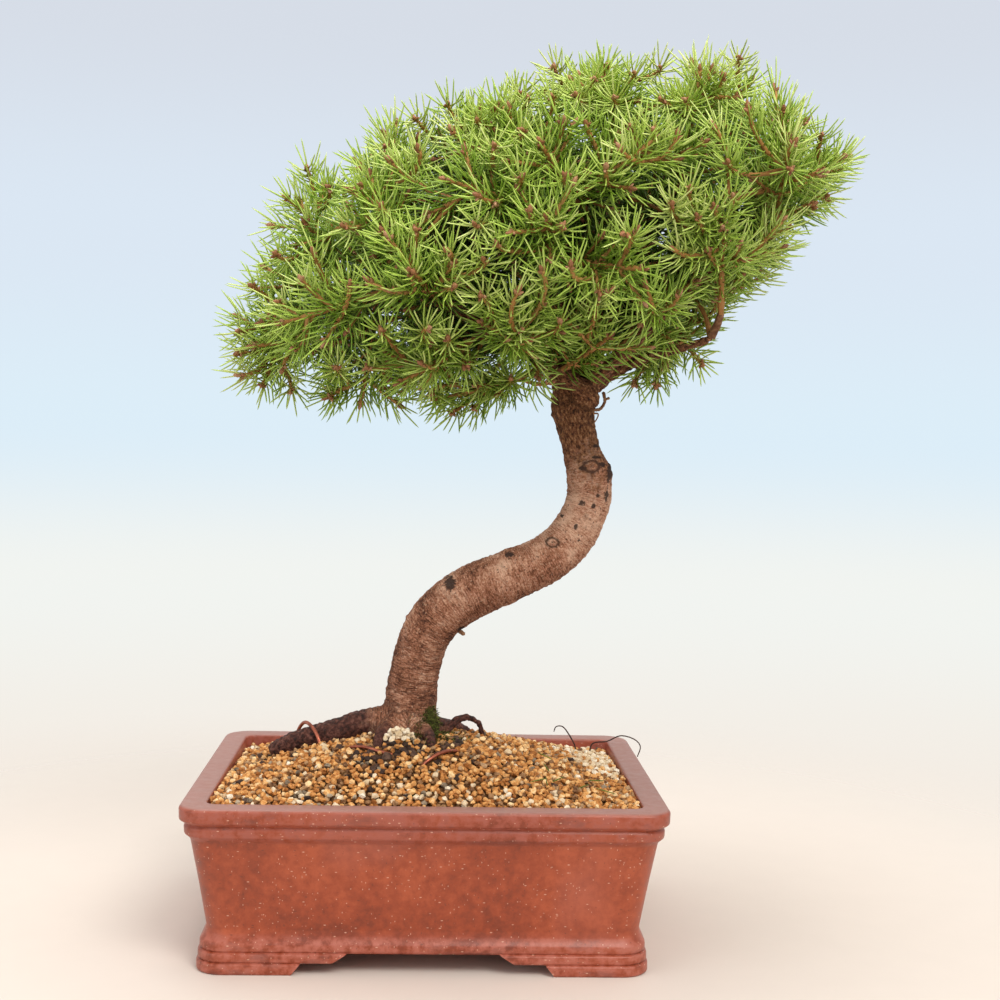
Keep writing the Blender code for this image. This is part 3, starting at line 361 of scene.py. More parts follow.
# How strongly such a shoot bends to its lower place, the rounds that find the crown's front, and its edge
SEEN_BEND, FRONT_ROUNDS, FRONT_EDGE = 0.5, 4, 0.99
FINE_CLEARANCE = 0.2
BRANCH_SHOOT_PITCH = 10.0
LIMB_SHOOT_PITCH = 9.0
# Limbs that show bare for most of their length, and the share of a limb that stays bare
BARE_LIMBS = ("right", "right_low", "thin", "middle")
BARE_SHARE, LEAFY_LIMB_BARE_SHARE, BRANCH_BARE_SHARE = 0.75, 0.42, 0.25
SHOOT_SIDES = 6
SHOOT_RINGS = 9
SHOOT_RIDGE = 0.26
BUD_LENGTH = 3.7
BUD_RADIUS = 1.2
SIDE_BUD_SHARE = 0.72
BUD_SIDES = 6
# Radii of a bud between and on its scales, and the turns round the shoot of the buds beside the first
BUD_SCALES = (0.94, 1.12)
SIDE_BUD_TURNS = (0, 150, 250)
# How much a bud's size varies, and the side buds' lean forward and their place behind and beside the tip
BUD_SIZES = (0.85, 1.15)
SIDE_BUD_LEAN, SIDE_BUD_BACK, SIDE_BUD_OUT = 0.8, 1.2, 0.5
# The share of a shoot whose depth in the crown shades its twig
TWIG_SHADE_AT = 0.7
# Rings of a bud: share of its length, share of its radius
BUD_RINGS = ((-0.15, 0.55), (0.12, 0.95), (0.38, 1.0), (0.66, 0.74), (0.88, 0.32))

# Fine wood
WOOD_VOXEL = 1.2
WOOD_SMOOTHING = 4
FINE_TRUNK_SIDES = 40
FINE_LIMB_SIDES = 14
FINE_STEPS = 7
BRANCH_FINE_SIDES = 8
# How far the ridges of a tube turn from ring to ring and from side to side, and how far its ends bulge
RIDGE_TURNS, TUBE_ENDS = (2.6, 2.4), (0.4, 0.6)
# Thin wood: steps between given places, ridges as a share of the radius, and tint, which varies by branch
BRANCH_WOOD, BRANCH_TINTS = (5, 0.09), 0.37
TWIG_WOOD, THIN_TWIG_WOOD, ROOTLET_WOOD = (6, 0.14, 1.6), (5, 0.1, 1.3), (8, 0.15, 0.1)
WIRE_STEPS, WIRE_SIDES = 12, 14
# Heights of the bark's relief in millimetres
LUMP_HEIGHT, RING_HEIGHT, FLAKE_HEIGHT, PLATE_HEIGHT = 0.6, 0.5, 0.38, 1.1
# Their noises' scales, those of rings and flakes across and along the wood, and the plates' middle level
LUMP_SCALE, RING_SCALES, FLAKE_SCALES, PLATE_SCALE = 0.09, (0.14, 0.66), (0.5, 1.0), 0.34
PLATE_LEVEL = 0.45
# How rough the roots are, and how much of the rings rough bark takes away
ROOT_ROUGHNESS, RINGS_LOST = 0.8, 0.5

# Marks on the trunk as seen from the front: x, z, half width, half height
STAINS = (
    (9.3, 171.7, 3.2, 4.2), (38.4, 186, 2.6, 1.6), (73.4, 212.5, 2.2, 1.5), (79.5, 211.1, 1.4, 1.6),
    (81, 216, 1.6, 1.2), (70.7, 200.2, 1.2, 2.2), (72.4, 194.2, 1, 1.2), (64.3, 205.8, 1.1, 1.1),
    (15.3, 148.5, 2.4, 2), (74.0, 229.4, 2.6, 1.2), (83.0, 231.2, 2.2, 1.4), (80, 234.9, 3.4, 1.1),
    (80.2, 240.6, 2.6, 1.0), (86.6, 227, 1.8, 6.5), (86, 216, 1.2, 3.2),
)
# Knots that stand out of it: x, z, radius, height
KNOTS = ((59.4, 192.7, 2.7, 1.0), (77.7, 230.2, 3.4, 1.5), (-2, 141, 2.6, 0.8), (30, 175, 2.4, 0.6),
         (88.5, 229, 4.6, 1.8))
# Of these, the first few show rings
RINGED_KNOTS = 2
# From where to where a knot fades round the trunk's side, its dent's depth, and how much smaller the dent is
KNOT_SIDE, KNOT_DENT, DENT_SIZE = (3, -3), 0.3, 3
# A knot's rings: how far out they reach, and how much flatter than the knot they are
RINGS_REACH, RINGS_FLAT = 3.0, 1.4
# A mark's share in its middle, how fast it fades outwards, and the place behind which there is none
STAIN_FULL, STAIN_FADE, STAIN_SIDE = 1.25, 0.75, 2
# Where the smooth reddish bark below gives way to the dark rough bark above
ROUGH_BARK_FROM = 208.0
ROUGH_BARK_FULL = 250.0

# The roots' dark bark: below this height, and from where to where away from the middle of the foot
ROOT_BARK_TOP = 125.0
ROOT_BARK_FROM, ROOT_BARK_FULL = 13.5, 25.0
NEAR_ROWS = 12

# The ridge of the left limb's foot across the front of the fork: x, y, z, radius
FORK_RIDGE = ((80, -3, 261, 2.6), (77, -8.5, 266, 4.0), (67, -12.5, 272.5, 4.6), (56, -14.5, 280.5, 4.4),
              (46, -15, 286.5, 4.0))

# A nub and a thin loop beside the dead twig below the fork: x, y, z, radius
THIN_TWIGS = (
    ((84.3, -4, 263.2, 0.5), (85.4, -4, 264, 0.6), (86.6, -4, 264.5, 0.7)),
    ((77.5, -4, 257.6, 0.5), (79.4, -4, 256.8, 0.45), (81.1, -4, 256.6, 0.4), (81.2, -4, 255.2, 0.35),
     (79.8, -4, 252.6, 0.3), (77.8, -4, 250.6, 0.3)),
)

# Moss: from the soil up the right of the trunk's foot, how widely it spreads low and high, its blades
MOSS_LOW, MOSS_HIGH = Vector((2.6, -13.0, 91.5)), Vector((0.8, -8.5, 108.0))
MOSS_SPREAD = (8.0, 1.5)
MOSS_BLADES = 1800
MOSS_SEED = 6
MOSS_LENGTHS, MOSS_RADIUS, MOSS_SWING = (0.8, 1.9), 0.18, 0.45
# How much denser it is low down, how flat its spread is, how far it stands in the bark and over the soil, how
# far above the soil it may leave the trunk, its blades' lean and bend upwards, and how dark it mostly is
MOSS_DENSE_LOW, MOSS_FLAT, MOSS_SUNK, MOSS_OVER_SOIL, MOSS_BESIDE = 1.5, 0.6, 0.2, 0.5, 2
MOSS_RISE, MOSS_BEND, MOSS_DARK = 0.5, 0.1, 1.4

# Two fine rootlets that arch out of the soil behind: x, y, z, radius
ROOTLETS = (
    ((80.3, 58, 71, 0.45), (80, 59, 77, 0.4), (76, 60, 84, 0.36), (73, 60, 87.2, 0.32), (69.7, 60, 87, 0.3),
     (68.5, 59.5, 84.5, 0.28)),
    ((87.9, 60, 71, 0.45), (90, 61, 77.8, 0.4), (98, 62, 79, 0.36), (105.4, 63, 81.9, 0.34),
     (113, 63.5, 80, 0.32), (116.5, 63.5, 76, 0.3), (115, 63, 70.5, 0.28)),
)

# Grains: kind, relative share, diameters
GRAIN_KINDS = (
    ("ochre", 0.70, (2.4, 4.0)), ("brown", 0.21, (2.2, 3.8)), ("grey", 0.035, (2.2, 3.6)),
    ("pale", 0.045, (2.6, 4.4)), ("dark", 0.005, (3.2, 6.0)),
)
# Layers of grains: pitch, height above the mound, share of places that are filled
GRAIN_LAYERS = ((2.8, -0.6, 1.0), (4.0, 0.9, 0.55))
# How light each layer's grains may be: the lower layer's are darker, as painted shade under the grains above
LAYER_SHADING = (0.62, 1.0)
# Least space between a grain of each layer and a root or a wire, below zero where it may reach in
WOOD_ROOM = (-0.9, 0.2)
# How uneven the grains lie, how much of its size one is sunk, and how far it stays off the pot's wall
GRAIN_UNEVEN, GRAIN_SUNK, GRAIN_MARGIN = 0.5, 0.25, 0.2
# Where pale and dark grains gather: x, y, reach along x and y, how many times more of them there
GATHERED = {
    "pale": ((88, 26, 9, 27, 150.0), (0, -70, math.inf, 6, 2.5), (-14, -14, 6, 6, 60.0)),
    # Dark grains gather in the hollows by the front roots: painted shade there, partly dark soil
    "dark": ((-21, -38, 12, 12, 200.0), (1, -26, 10, 9, 240.0)),
}
GRAIN_JITTER = 0.16
GRAIN_SHARP = 26
# Stones: how many shapes, their corners, how far each strays, its distance from the middle, the stretch
# along each axis, and how far a stone tips
STONE_SHAPES = 32
STONE_CORNERS = 14
CORNER_STRAY, CORNER_REACH = 0.35, (0.74, 1.12)
STONE_STRETCH = ((0.85, 1.2), (0.8, 1.05), (0.72, 0.95))
STONE_TIP = 0.5
# The little heap of pale grains against the front of the trunk's foot: its middle, its reach, how far it
# draws in from each layer to the next, its layers, their height and the pitch of its grains
HEAP_MIDDLE = Vector((-14.5, -19.5))
HEAP_REACH, HEAP_STEP, HEAP_LAYERS = 8.0, 2.4, 2
HEAP_RISE, HEAP_PITCH, HEAP_JITTER = 2.3, 2.9, 0.7
# How high its lowest layer lies, how uneven, and how far a grain stays off the trunk as a share of its size
HEAP_LIFT, HEAP_UNEVEN, HEAP_OFF_WOOD = 1.4, (-0.6, 0.4), 0.3
# Rows of hexagonal packing, as a share of the pitch along a row
ROW_PITCH = 0.87
# Shed needles: how many, where on the soil, their length, and how high they lie on it
FALLEN_NEEDLES = 8
FALLEN_SEED = 8
FALLEN_ACROSS, FALLEN_DEEP = (42, 85), (-66, -12)
FALLEN_LENGTH, FALLEN_HEIGHT = 10.0, 1.9
# They slope as the soil does over so much of their length. Their margin to the wall, radius, bend and tints
FALLEN_OVER, FALLEN_MARGIN = 9, 3
FALLEN_RADIUS, FALLEN_BEND, FALLEN_TINTS = 0.38, (0.02, 0.03, 0.0), (0.1, 0.7)


# Routes

def smooth_route(points, steps):
    """Points of a smooth curve through the given ones, with whatever each carries, in even steps."""
    rows = [np.array(point, float) for point in points]
    rows = [2 * rows[0] - rows[1]] + rows + [2 * rows[-1] - rows[-2]]
    route = []
    for a, b, c, d in zip(rows, rows[1:], rows[2:], rows[3:]):
        for step in range(steps):
            t = step / steps
            route.append(0.5 * (2 * b + (c - a) * t + (2 * a - 5 * b + 4 * c - d) * t * t
                                + (3 * b - a - 3 * c + d) * t ** 3))
    route.append(rows[-2])
    return route


def directions(route):
    """The direction at each point of a route of vectors."""
    last = len(route) - 1
    return [(route[min(i + 1, last)] - route[max(i - 1, 0)]).normalized() for i in range(last + 1)]


def carried_spokes(headings, first):
    """One spoke at each heading, carried along without twist."""
    spokes = []
    spoke = first
    for heading in headings:
        spoke = (spoke - heading * spoke.dot(heading)).normalized()
        spokes.append(spoke)
    return spokes


def between(ends, share):
    """The value at a share of the way from the first of two to the second."""
    return ends[0] + (ends[1] - ends[0]) * share


# Finished pieces

def linked(name, data):
    """A new object in the scene for a mesh, a light or a camera."""
    made = bpy.data.objects.new(name, data)
    bpy.context.collection.objects.link(made)
    return made


def finish_piece(piece, slot_name, *replaced):
    """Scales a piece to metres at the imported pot, and ties it to the frame."""
    piece.data.transform(Matrix.Translation(POT_MIDDLE) @ Matrix.Scale(MM, 4))
    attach(piece, "root")
    if replaced:
        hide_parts(*replaced)
    return piece


class Heap:
    """Points and triangles of many small shapes, gathered for one mesh, with a value at each point."""

    def __init__(self):
        self.points = []
        self.faces = []
        self.slots = []
        self.tints = []
        self.count = 0

    def add(self, points, faces, slot=0, tint=0.5):
        points = np.asarray(points, float).reshape(-1, 3)
        faces = np.asarray(faces, int).reshape(-1, 3)
        self.points.append(points)
        self.faces.append(faces + self.count)
        self.slots.append(np.full(len(faces), slot))
        self.tints.append(np.broadcast_to(tint, len(points)))
        self.count += len(points)

    def add_tube(self, rows, sides, ridge=0.0, slot=0, tint=0.5):
        points, faces = fine_tube(rows, sides, ridge)
        self.add(points, faces, slot, tint)

    def made(self, name, finishes, sharp_angle=None):
        """The mesh object of everything gathered, smooth except across edges sharper than the angle."""
        points = np.concatenate(self.points)
        faces = np.concatenate(self.faces)
        mesh = bpy.data.meshes.new(name)
        mesh.vertices.add(len(points))
        mesh.vertices.foreach_set("co", points.ravel())
        mesh.loops.add(faces.size)
        mesh.loops.foreach_set("vertex_index", faces.ravel())
        mesh.polygons.add(len(faces))
        mesh.polygons.foreach_set("loop_start", np.arange(0, faces.size, 3))
        mesh.polygons.foreach_set("material_index", np.concatenate(self.slots))
        mesh.update(calc_edges=True)
        mesh.validate()
        put_values(mesh, "tint", np.concatenate(self.tints))
        for finish in finishes:
            mesh.materials.append(finish)
        mesh.shade_smooth()
        if sharp_angle:
            mesh.set_sharp_from_angle(angle=math.radians(sharp_angle))
        return linked(name, mesh)


def put_values(mesh, name, values):
    """Stores one number, or one vector, at each point of a mesh."""
    values = np.asarray(values, np.float32)
    kind, field = ("FLOAT", "value") if values.ndim == 1 else ("FLOAT_VECTOR", "vector")
    attribute = mesh.attributes.new(name, kind, "POINT")
    attribute.data.foreach_set(field, values.ravel())


def band_faces(low, high, count):
    """Triangles between two rings of points, given by their first indices."""
    faces = []
    for i in range(count):
        j = (i + 1) % count
        faces += [(low + i, low + j, high + j), (low + i, high + j, high + i)]
    return faces


def fine_tube(rows, sides, ridge):
    """Points and triangles of a closed tube through rows of x, y, z, radius, with ridges along it."""
    route = [Vector(row[:3]) for row in rows]
    headings = directions(route)
    spokes = carried_spokes(headings, headings[0].orthogonal())
    points = []
    for number, (centre, heading, spoke, row) in enumerate(zip(route, headings, spokes, rows)):
        other = heading.cross(spoke)
        for side in range(sides):
            angle = 2 * math.pi * side / sides
            wave = math.sin(RIDGE_TURNS[0] * number + RIDGE_TURNS[1] * side)
            radius = row[3] * (1 + ridge * wave)
            points.append(centre + (spoke * math.cos(angle) + other * math.sin(angle)) * radius)
    faces = []
    for number in range(len(rows) - 1):
        faces += band_faces(number * sides, (number + 1) * sides, sides)
    first, last = len(points), len(points) + 1
    points.append(route[0] - headings[0] * rows[0][3] * TUBE_ENDS[0])
    points.append(route[-1] + headings[-1] * rows[-1][3] * TUBE_ENDS[1])
    top = (len(rows) - 1) * sides
    for i in range(sides):
        j = (i + 1) % sides
        faces += [(j, i, first), (top + i, top + j, last)]
    return np.array(points), faces


def new_object(name, points, faces, finish=None):
    mesh = bpy.data.meshes.new(name)
    mesh.from_pydata([tuple(point) for point in points], [], faces)
    if finish:
        mesh.materials.append(finish)
    return linked(name, mesh)


def loft(name, rings, finish=None):
    """A closed body through rings of equal count, anticlockwise seen along the loft."""
    count = len(rings[0])
    points = [point for ring in rings for point in ring]
    faces = [tuple(reversed(range(count)))]
    for low in range(0, count * (len(rings) - 1), count):
        for i in range(count):
            j = (i + 1) % count
            faces.append((low + i, low + j, low + count + j, low + count + i))
    faces.append(tuple(range(len(points) - count, len(points))))
    return new_object(name, points, faces, finish)


def apply_modifiers(target, finish):
    """Gives an object the mesh that its modifiers make, in one material."""
    whole = target.evaluated_get(bpy.context.evaluated_depsgraph_get())
    target.data = bpy.data.meshes.new_from_object(whole)
    target.modifiers.clear()
    target.data.materials.clear()
    target.data.materials.append(finish)
    target.data.shade_smooth()


def cut(target, cutters, finish):
    """Cuts the other objects out of the target by one Boolean, and removes them."""
    group = bpy.data.collections.new("cutters")
    bpy.context.scene.collection.children.link(group)
    for cutter in cutters:
        group.objects.link(cutter)
    boolean = target.modifiers.new("cut", "BOOLEAN")
    boolean.operand_type = "COLLECTION"
    boolean.collection = group
    boolean.operation = "DIFFERENCE"
    boolean.solver = "EXACT"
    apply_modifiers(target, finish)
    for cutter in cutters:
        bpy.data.objects.remove(cutter)
    bpy.data.collections.remove(group)


# Pot

def rounded_rectangle(half_x, half_y, corner, height):
    """Points of a rectangle with round corners, anticlockwise seen from above."""
    points = []
    for quarter, (sign_x, sign_y) in enumerate(((1, 1), (-1, 1), (-1, -1), (1, -1))):
        for step in range(POT_CORNER_STEPS + 1):
            angle = math.radians(90 * (quarter + step / POT_CORNER_STEPS))
            x = sign_x * (half_x - corner) + corner * math.cos(angle)
            y = sign_y * (half_y - corner) + corner * math.sin(angle)
            points.append(Vector((x, y, height)))
    return points


def pot_ring(height, inset, corner=RIM_CORNER):
    half_x, half_y = RIM_HALF
    return rounded_rectangle(half_x - inset, half_y - inset, corner, height)


def cavity_inset(height):
    """How far the cavity's wall lies inside the rim's outline at a height."""
    return RIM_WALL + INNER_TAPER * (POT_HEIGHT - height) / (POT_HEIGHT - FLOOR_TOP)


def arch_cutter(profile, reach, along_y):
    """A bar of the arch's outline, across the whole pot, front to back or side to side."""
    outline = [(-width, height) for width, height in profile]
    outline += [(width, height) for width, height in reversed(profile)]
    rings = []
    for end in (-reach, reach):
        ring = [(width, -end, height) if along_y else (end, width, height) for width, height in outline]
        rings.append(ring[::-1])
    return loft("arch", rings)


def drain_cutter(x):
    turns = [2 * math.pi * side / DRAIN_SIDES for side in range(DRAIN_SIDES)]
    circle = [(x + DRAIN_RADIUS * math.cos(turn), DRAIN_RADIUS * math.sin(turn)) for turn in turns]
    ends = (FLOOR_UNDERSIDE - DRAIN_PAST, FLOOR_TOP + DRAIN_PAST)
    return loft("drain", [[(*point, z) for point in circle] for z in ends])


def block(half_x, half_y, low, high):
    corners = ((-half_x, -half_y), (half_x, -half_y), (half_x, half_y), (-half_x, half_y))
    return loft("block", [[(x, y, z) for x, y in corners] for z in (low, high)])


def rounded_profile(corners, reach):
    """The profile with each corner between its ends cut back twice, which rounds it off."""
    profile = [corners[0]]
    for before, corner, after in zip(corners, corners[1:], corners[2:]):
        cuts = []
        for other in (before, after):
            away = math.dist(corner, other)
            share = min(reach / away, MOST_ROUNDING)
            cuts.append([c + (o - c) * share for c, o in zip(corner, other)])
        first, last = cuts
        middle = [(a + 2 * c + b) / 4 for a, c, b in zip(first, corner, last)]
        profile += [first, middle, last]
    profile.append(corners[-1])
    return profile


def make_pot(finish):
    middle = (POT_HEIGHT, RIM_WALL / 2)
    outside = [*OUTER_WALL, middle]
    wide, deep = RIM_BEVEL
    inside = [middle, (POT_HEIGHT, RIM_WALL - wide), (POT_HEIGHT - deep, RIM_WALL),
              (FLOOR_TOP, cavity_inset(FLOOR_TOP))]
    rings = [pot_ring(*row) for row in rounded_profile(outside, EDGE_ROUNDING)]
    rings += [pot_ring(*row, INNER_CORNER) for row in rounded_profile(inside, EDGE_ROUNDING)]
    pot = loft("fine_pot", rings, finish)
    foot = OUTER_WALL[1][1] + FOOT_THICKNESS
    cutters = [
        arch_cutter(FRONT_ARCH, RIM_HALF[1] + ARCH_PAST, along_y=True),
        arch_cutter(SIDE_ARCH, RIM_HALF[0] + ARCH_PAST, along_y=False),
        block(RIM_HALF[0] - foot, RIM_HALF[1] - foot, -1, FLOOR_UNDERSIDE),
        drain_cutter(-DRAIN_PLACE),
        drain_cutter(DRAIN_PLACE),
    ]
    cut(pot, cutters, finish)
    pot.data.set_sharp_from_angle(angle=math.radians(POT_SHARP))
    return finish_piece(pot, "stoneware", "pot")


def soil_height(x, y):
    """The smooth level of the soil, without its grains."""
    reach, power = MOUND_LEFT if x < MOUND_TOP_X else MOUND_RIGHT
    across = max(0.0, 1 - (abs(x - MOUND_TOP_X) / reach) ** power)
    reach, power = MOUND_DEPTH
    deep = max(0.0, 1 - (abs(y) / reach) ** power)
    return SOIL_LEVEL - SOIL_FALL_TO_BACK * y / MOUND_DEPTH[0] + MOUND_HEIGHT * across * deep


# Rods that keep clear of each other

class Clearance:
    """Tapered rods, each a straight stretch with a radius at either end."""

    def __init__(self):
        self.rods = np.zeros((0, 8))
        self.owners = np.zeros(0, int)

    def add(self, start, end, radii, owner):
        row = np.array((*start, *end, *radii))
        self.rods = np.vstack((self.rods, row))
        self.owners = np.append(self.owners, owner)

    def add_route(self, rows, owner):
        for first, second in zip(rows, rows[1:]):
            self.add(first[:3], second[:3], (first[3], second[3]), owner)

    def route_room(self, rows, ignore):
        """The smallest space between a new route's rods and those not ignored."""
        return min(self.room(a[:3], b[:3], (a[3], b[3]), ignore) for a, b in zip(rows, rows[1:]))

    def room(self, start, end, radii, ignore=()):
        """The smallest space between a new rod's surface and those of the rods not ignored."""
        kept = ~np.isin(self.owners, list(ignore))
        if not kept.any():
            return math.inf
        rods = self.rods[kept]
        start = np.array(start)
        along = np.array(end) - start
        across = rods[:, 3:6] - rods[:, 0:3]
        between = start - rods[:, 0:3]
        a = along @ along
        b = across @ along
        c = between @ along
        e = np.einsum("ij,ij->i", across, across)
        f = np.einsum("ij,ij->i", across, between)
        slack = np.maximum(a * e - b * b, 1e-9)
        s = np.clip((b * f - c * e) / slack, 0, 1)
        t = np.clip((b * s + f) / e, 0, 1)
        s = np.clip((b * t - c) / a, 0, 1)
        apart = between + s[:, None] * along - t[:, None] * across
        thick = radii[0] + (radii[1] - radii[0]) * s
        thick += rods[:, 6] + (rods[:, 7] - rods[:, 6]) * t
        return float((np.linalg.norm(apart, axis=1) - thick).min())


# Crown: where its sprays are, and the shoots of each

def outline_polar():
    """The crown's outline as angles in degrees and distances about its middle, in order of angle."""
    polar = []
    for x, z in OUTLINE:
        across, up = x - CROWN_MIDDLE.x, z - CROWN_MIDDLE.z
        polar.append((math.degrees(math.atan2(up, across)) % 360, math.hypot(across, up)))
    polar.sort()
    return zip(*polar)


OUTLINE_ANGLES, OUTLINE_REACH = (list(values) for values in outline_polar())


def crown_point(heading):
    """The place of the needle tips in a direction from the crown's middle."""
    angle = math.degrees(math.atan2(heading.z, heading.x)) % 360
    side = float(np.interp(angle, OUTLINE_ANGLES, OUTLINE_REACH, period=360))
    flat = math.hypot(heading.x, heading.z)
    reach = 1 / math.hypot(flat / side, heading.y / CROWN_HALF_DEPTH)
    return CROWN_MIDDLE + heading * reach


def depth_inside(point):
    """How far inside the crown's outer shell a point lies, on the line from the crown's middle."""
    way = point - CROWN_MIDDLE
    return (crown_point(way.normalized()) - CROWN_MIDDLE).length - way.length


def even_heading(number, count):
    """One of a count of even directions, from straight up to straight down."""
    up = 1 - 2 * (number + 0.5) / count
    flat = math.sqrt(1 - up * up)
    return Vector((flat * math.cos(GOLDEN_TURN * number), flat * math.sin(GOLDEN_TURN * number), up))


def crown_shell():
    """Even points of the crown's outer shell."""
    headings = [even_heading(number, CANDIDATES) for number in range(CANDIDATES)]
    return [crown_point(heading) for heading in headings if heading.z > LOWEST_HEADING]


def spread_out(shell, chosen, nearest, count):
    """Places of a shell, those chosen first and then each the farthest from all before it."""
    places = np.array(shell)
    while len(chosen) < count:
        chosen.append(int(nearest.argmax()))
        nearest = np.minimum(nearest, np.linalg.norm(places - places[chosen[-1]], axis=1))
    return [shell[index] for index in chosen]


def spray_targets():
    """Where the sprays end on the crown's outer shell, from the leftmost on."""
    shell = crown_shell()
    places = np.array(shell)
    first = int(places[:, 0].argmin())
    return spread_out(shell, [first], np.linalg.norm(places - places[first], axis=1), SPRAYS)


def limb_perches():
    """Places along the limbs and the leader where a branch may leave: point and direction."""
    perches = []
    for rows in (*LIMBS.values(), TRUNK[-5:]):
        rows = smooth_route(rows, PERCH_STEPS)
        route = [Vector(row[:3]) for row in rows]
        headings = directions(route)
        for row, point, heading in list(zip(rows, route, headings))[PERCH_STEPS:-1]:
            perches.append((point, heading, row[3]))
        perches.append((route[-1] - headings[-1] * 3, headings[-1], 0.0))
    return perches


def branch_cost(perch, target):
    """How far, and how much against its direction, a branch would leave a perch for a target."""
    point, heading, _ = perch
    way = target - point
    cost = way.length * (WAY_COST - TURN_COST * way.normalized().dot(heading))
    return cost + SHORT_COST * max(0.0, SHORTEST_WAY - way.length)


def arc_point(foot, bend, tip, t):
    """A point of the arc that leaves its foot towards a bend and ends at its tip."""
    return foot * (1 - t) ** 2 + bend * 2 * t * (1 - t) + tip * t * t


def spray_plan(rng, target, perch):
    """The branch from a perch that carries a spray, and the spray's start, heading and length."""
    foot, limb_heading, limb_radius = perch
    way = target - foot
    heading = way.normalized()
    most = way.length - TIP_TO_OUTLINE - limb_radius - BRANCH_LEAST
    length = min(rng.uniform(*SPRAY_LENGTH), most)
    start = target - heading * (TIP_TO_OUTLINE + length)
    bend = foot + (limb_heading + heading) * (start - foot).length * BRANCH_REACH_BACK
    shares = [step / BRANCH_STEPS for step in range(BRANCH_STEPS + 1)]
    rows = [(*arc_point(foot, bend, start, t), between(BRANCH_RADII, t)) for t in shares]
    return rows, start, (start - bend).normalized(), length


def curved_shoot(start, heading, length, lift):
    """A shoot as a function of the share of its length, bending up a little towards its tip."""
    rise = Vector((0, 0, 1)) - heading * heading.z

    def place(t):
        return start + heading * length * t + rise * length * lift * t * t

    return place


def shoot_rows(place, radii):
    """Rows of x, y, z, radius along a shoot and out to the point of its bud."""
    shares = [step / SHOOT_STEPS for step in range(SHOOT_STEPS + 1)]
    rows = [(*place(t), between(radii, t)) for t in shares]
    bud = place(1) + (place(1) - place(shares[-2])).normalized() * BUD
    return [*rows, (*bud, BUD_POINT)]


def shoot_room(clearance, place, radii, skip, ignore):
    """The room of a shoot, without its first few stretches."""
    return clearance.route_room(shoot_rows(place, radii)[skip:], ignore)


class Shoot:
    """One shoot: where it runs, how thick it is, and the shoots at its sides."""

    def __init__(self, place, radii, length, number):
        self.place = place
        self.radii = radii
        self.length = length
        self.number = number
        self.laterals = []

    def heading(self, t):
        return (self.place(t + SHOOT_SPAN) - self.place(t - SHOOT_SPAN)).normalized()

    def radius(self, t):
        return between(self.radii, t)


def turned(heading, about, degrees):
    return Matrix.Rotation(math.radians(degrees), 3, about) @ heading


def clear_stem(rng, clearance, branch, start, heading, length, number):
    """A spray's stem, turned a little until it has room among what stands there already."""
    for attempt in range(TRIES):
        aim = turned(heading, heading.orthogonal(), rng.uniform(0, STEM_SWING * attempt))
        aim = turned(aim, heading, rng.uniform(0, 360))
        place = curved_shoot(start + heading * GAP, aim, length, rng.uniform(*STEM_LIFT))
        if depth_inside(place(1)) < TIP_DEPTH:
            continue
        if shoot_room(clearance, place, STEM_RADII, 0, (branch,)) > SHOOT_CLEARANCE:
            return Shoot(place, STEM_RADII, length, number)
    return None


def clear_spray(rng, clearance, target, perches, number):
    """The branch and the stem of one spray, from the best perch that leaves both of them room."""
    wood = range(FIRST_STEM)
    for perch in sorted(perches, key=lambda item: branch_cost(item, target))[:PERCH_TRIES]:
        rows, start, heading, length = spray_plan(rng, target, perch)
        if clearance.route_room(rows, wood) < SHOOT_CLEARANCE:
            continue
        stem = clear_stem(rng, clearance, number, start, heading, length, FIRST_STEM + number)
        if stem:
            return rows, stem
    return None


def clear_lateral(rng, clearance, stem, station, side, number):
    """A shoot to one side of a stem at a station, if a place with room is found for it."""
    heading = stem.heading(station)
    root = stem.place(station)
    relatives = [stem.number, *(other.number for other in stem.laterals)]
    for attempt in range(TRIES):
        angle = math.radians(rng.uniform(*SHOOT_ANGLE))
        length = rng.uniform(*SHOOT_LENGTH) * (1 - SHORTER * attempt)
        aim = heading * math.cos(angle) + side * math.sin(angle)
        aim = turned(aim, heading, rng.uniform(-SHOOT_SWING, SHOOT_SWING))
        place = curved_shoot(root, aim.normalized(), length, rng.uniform(*SHOOT_LIFT))
        if depth_inside(place(1)) < TIP_DEPTH:
            continue
        room = min(shoot_room(clearance, place, SHOOT_RADII, 0, relatives),
                   shoot_room(clearance, place, SHOOT_RADII, 1, (stem.number,)))
        if room > SHOOT_CLEARANCE:
            return Shoot(place, SHOOT_RADII, length, number)
    return None


def placed_spray(rng, clearance, target, perches, number):
    """The branch and the stem of a spray, entered in the clearance."""
    found = clear_spray(rng, clearance, target, perches, number)
    if found is None:
        raise ValueError(f"no room for spray {number}")
    rows, stem = found
    clearance.add_route(rows, number)
    clearance.add_route(shoot_rows(stem.place, stem.radii), stem.number)
    return rows, stem


def grow_laterals(rng, clearance, stem, shoots):
    """Gives a stem its side shoots and returns the number for the next shoot."""
    roll = rng.uniform(0, 180)
    for station in STATIONS:
        roll += rng.uniform(*STATION_TURN)
        heading = stem.heading(station)
        side = turned(heading.orthogonal(), heading, roll).normalized()
        for way in (side, -side):
            lateral = clear_lateral(rng, clearance, stem, station, way, shoots)
            if lateral:
                stem.laterals.append(lateral)
                clearance.add_route(shoot_rows(lateral.place, lateral.radii), lateral.number)
                shoots += 1
    return shoots


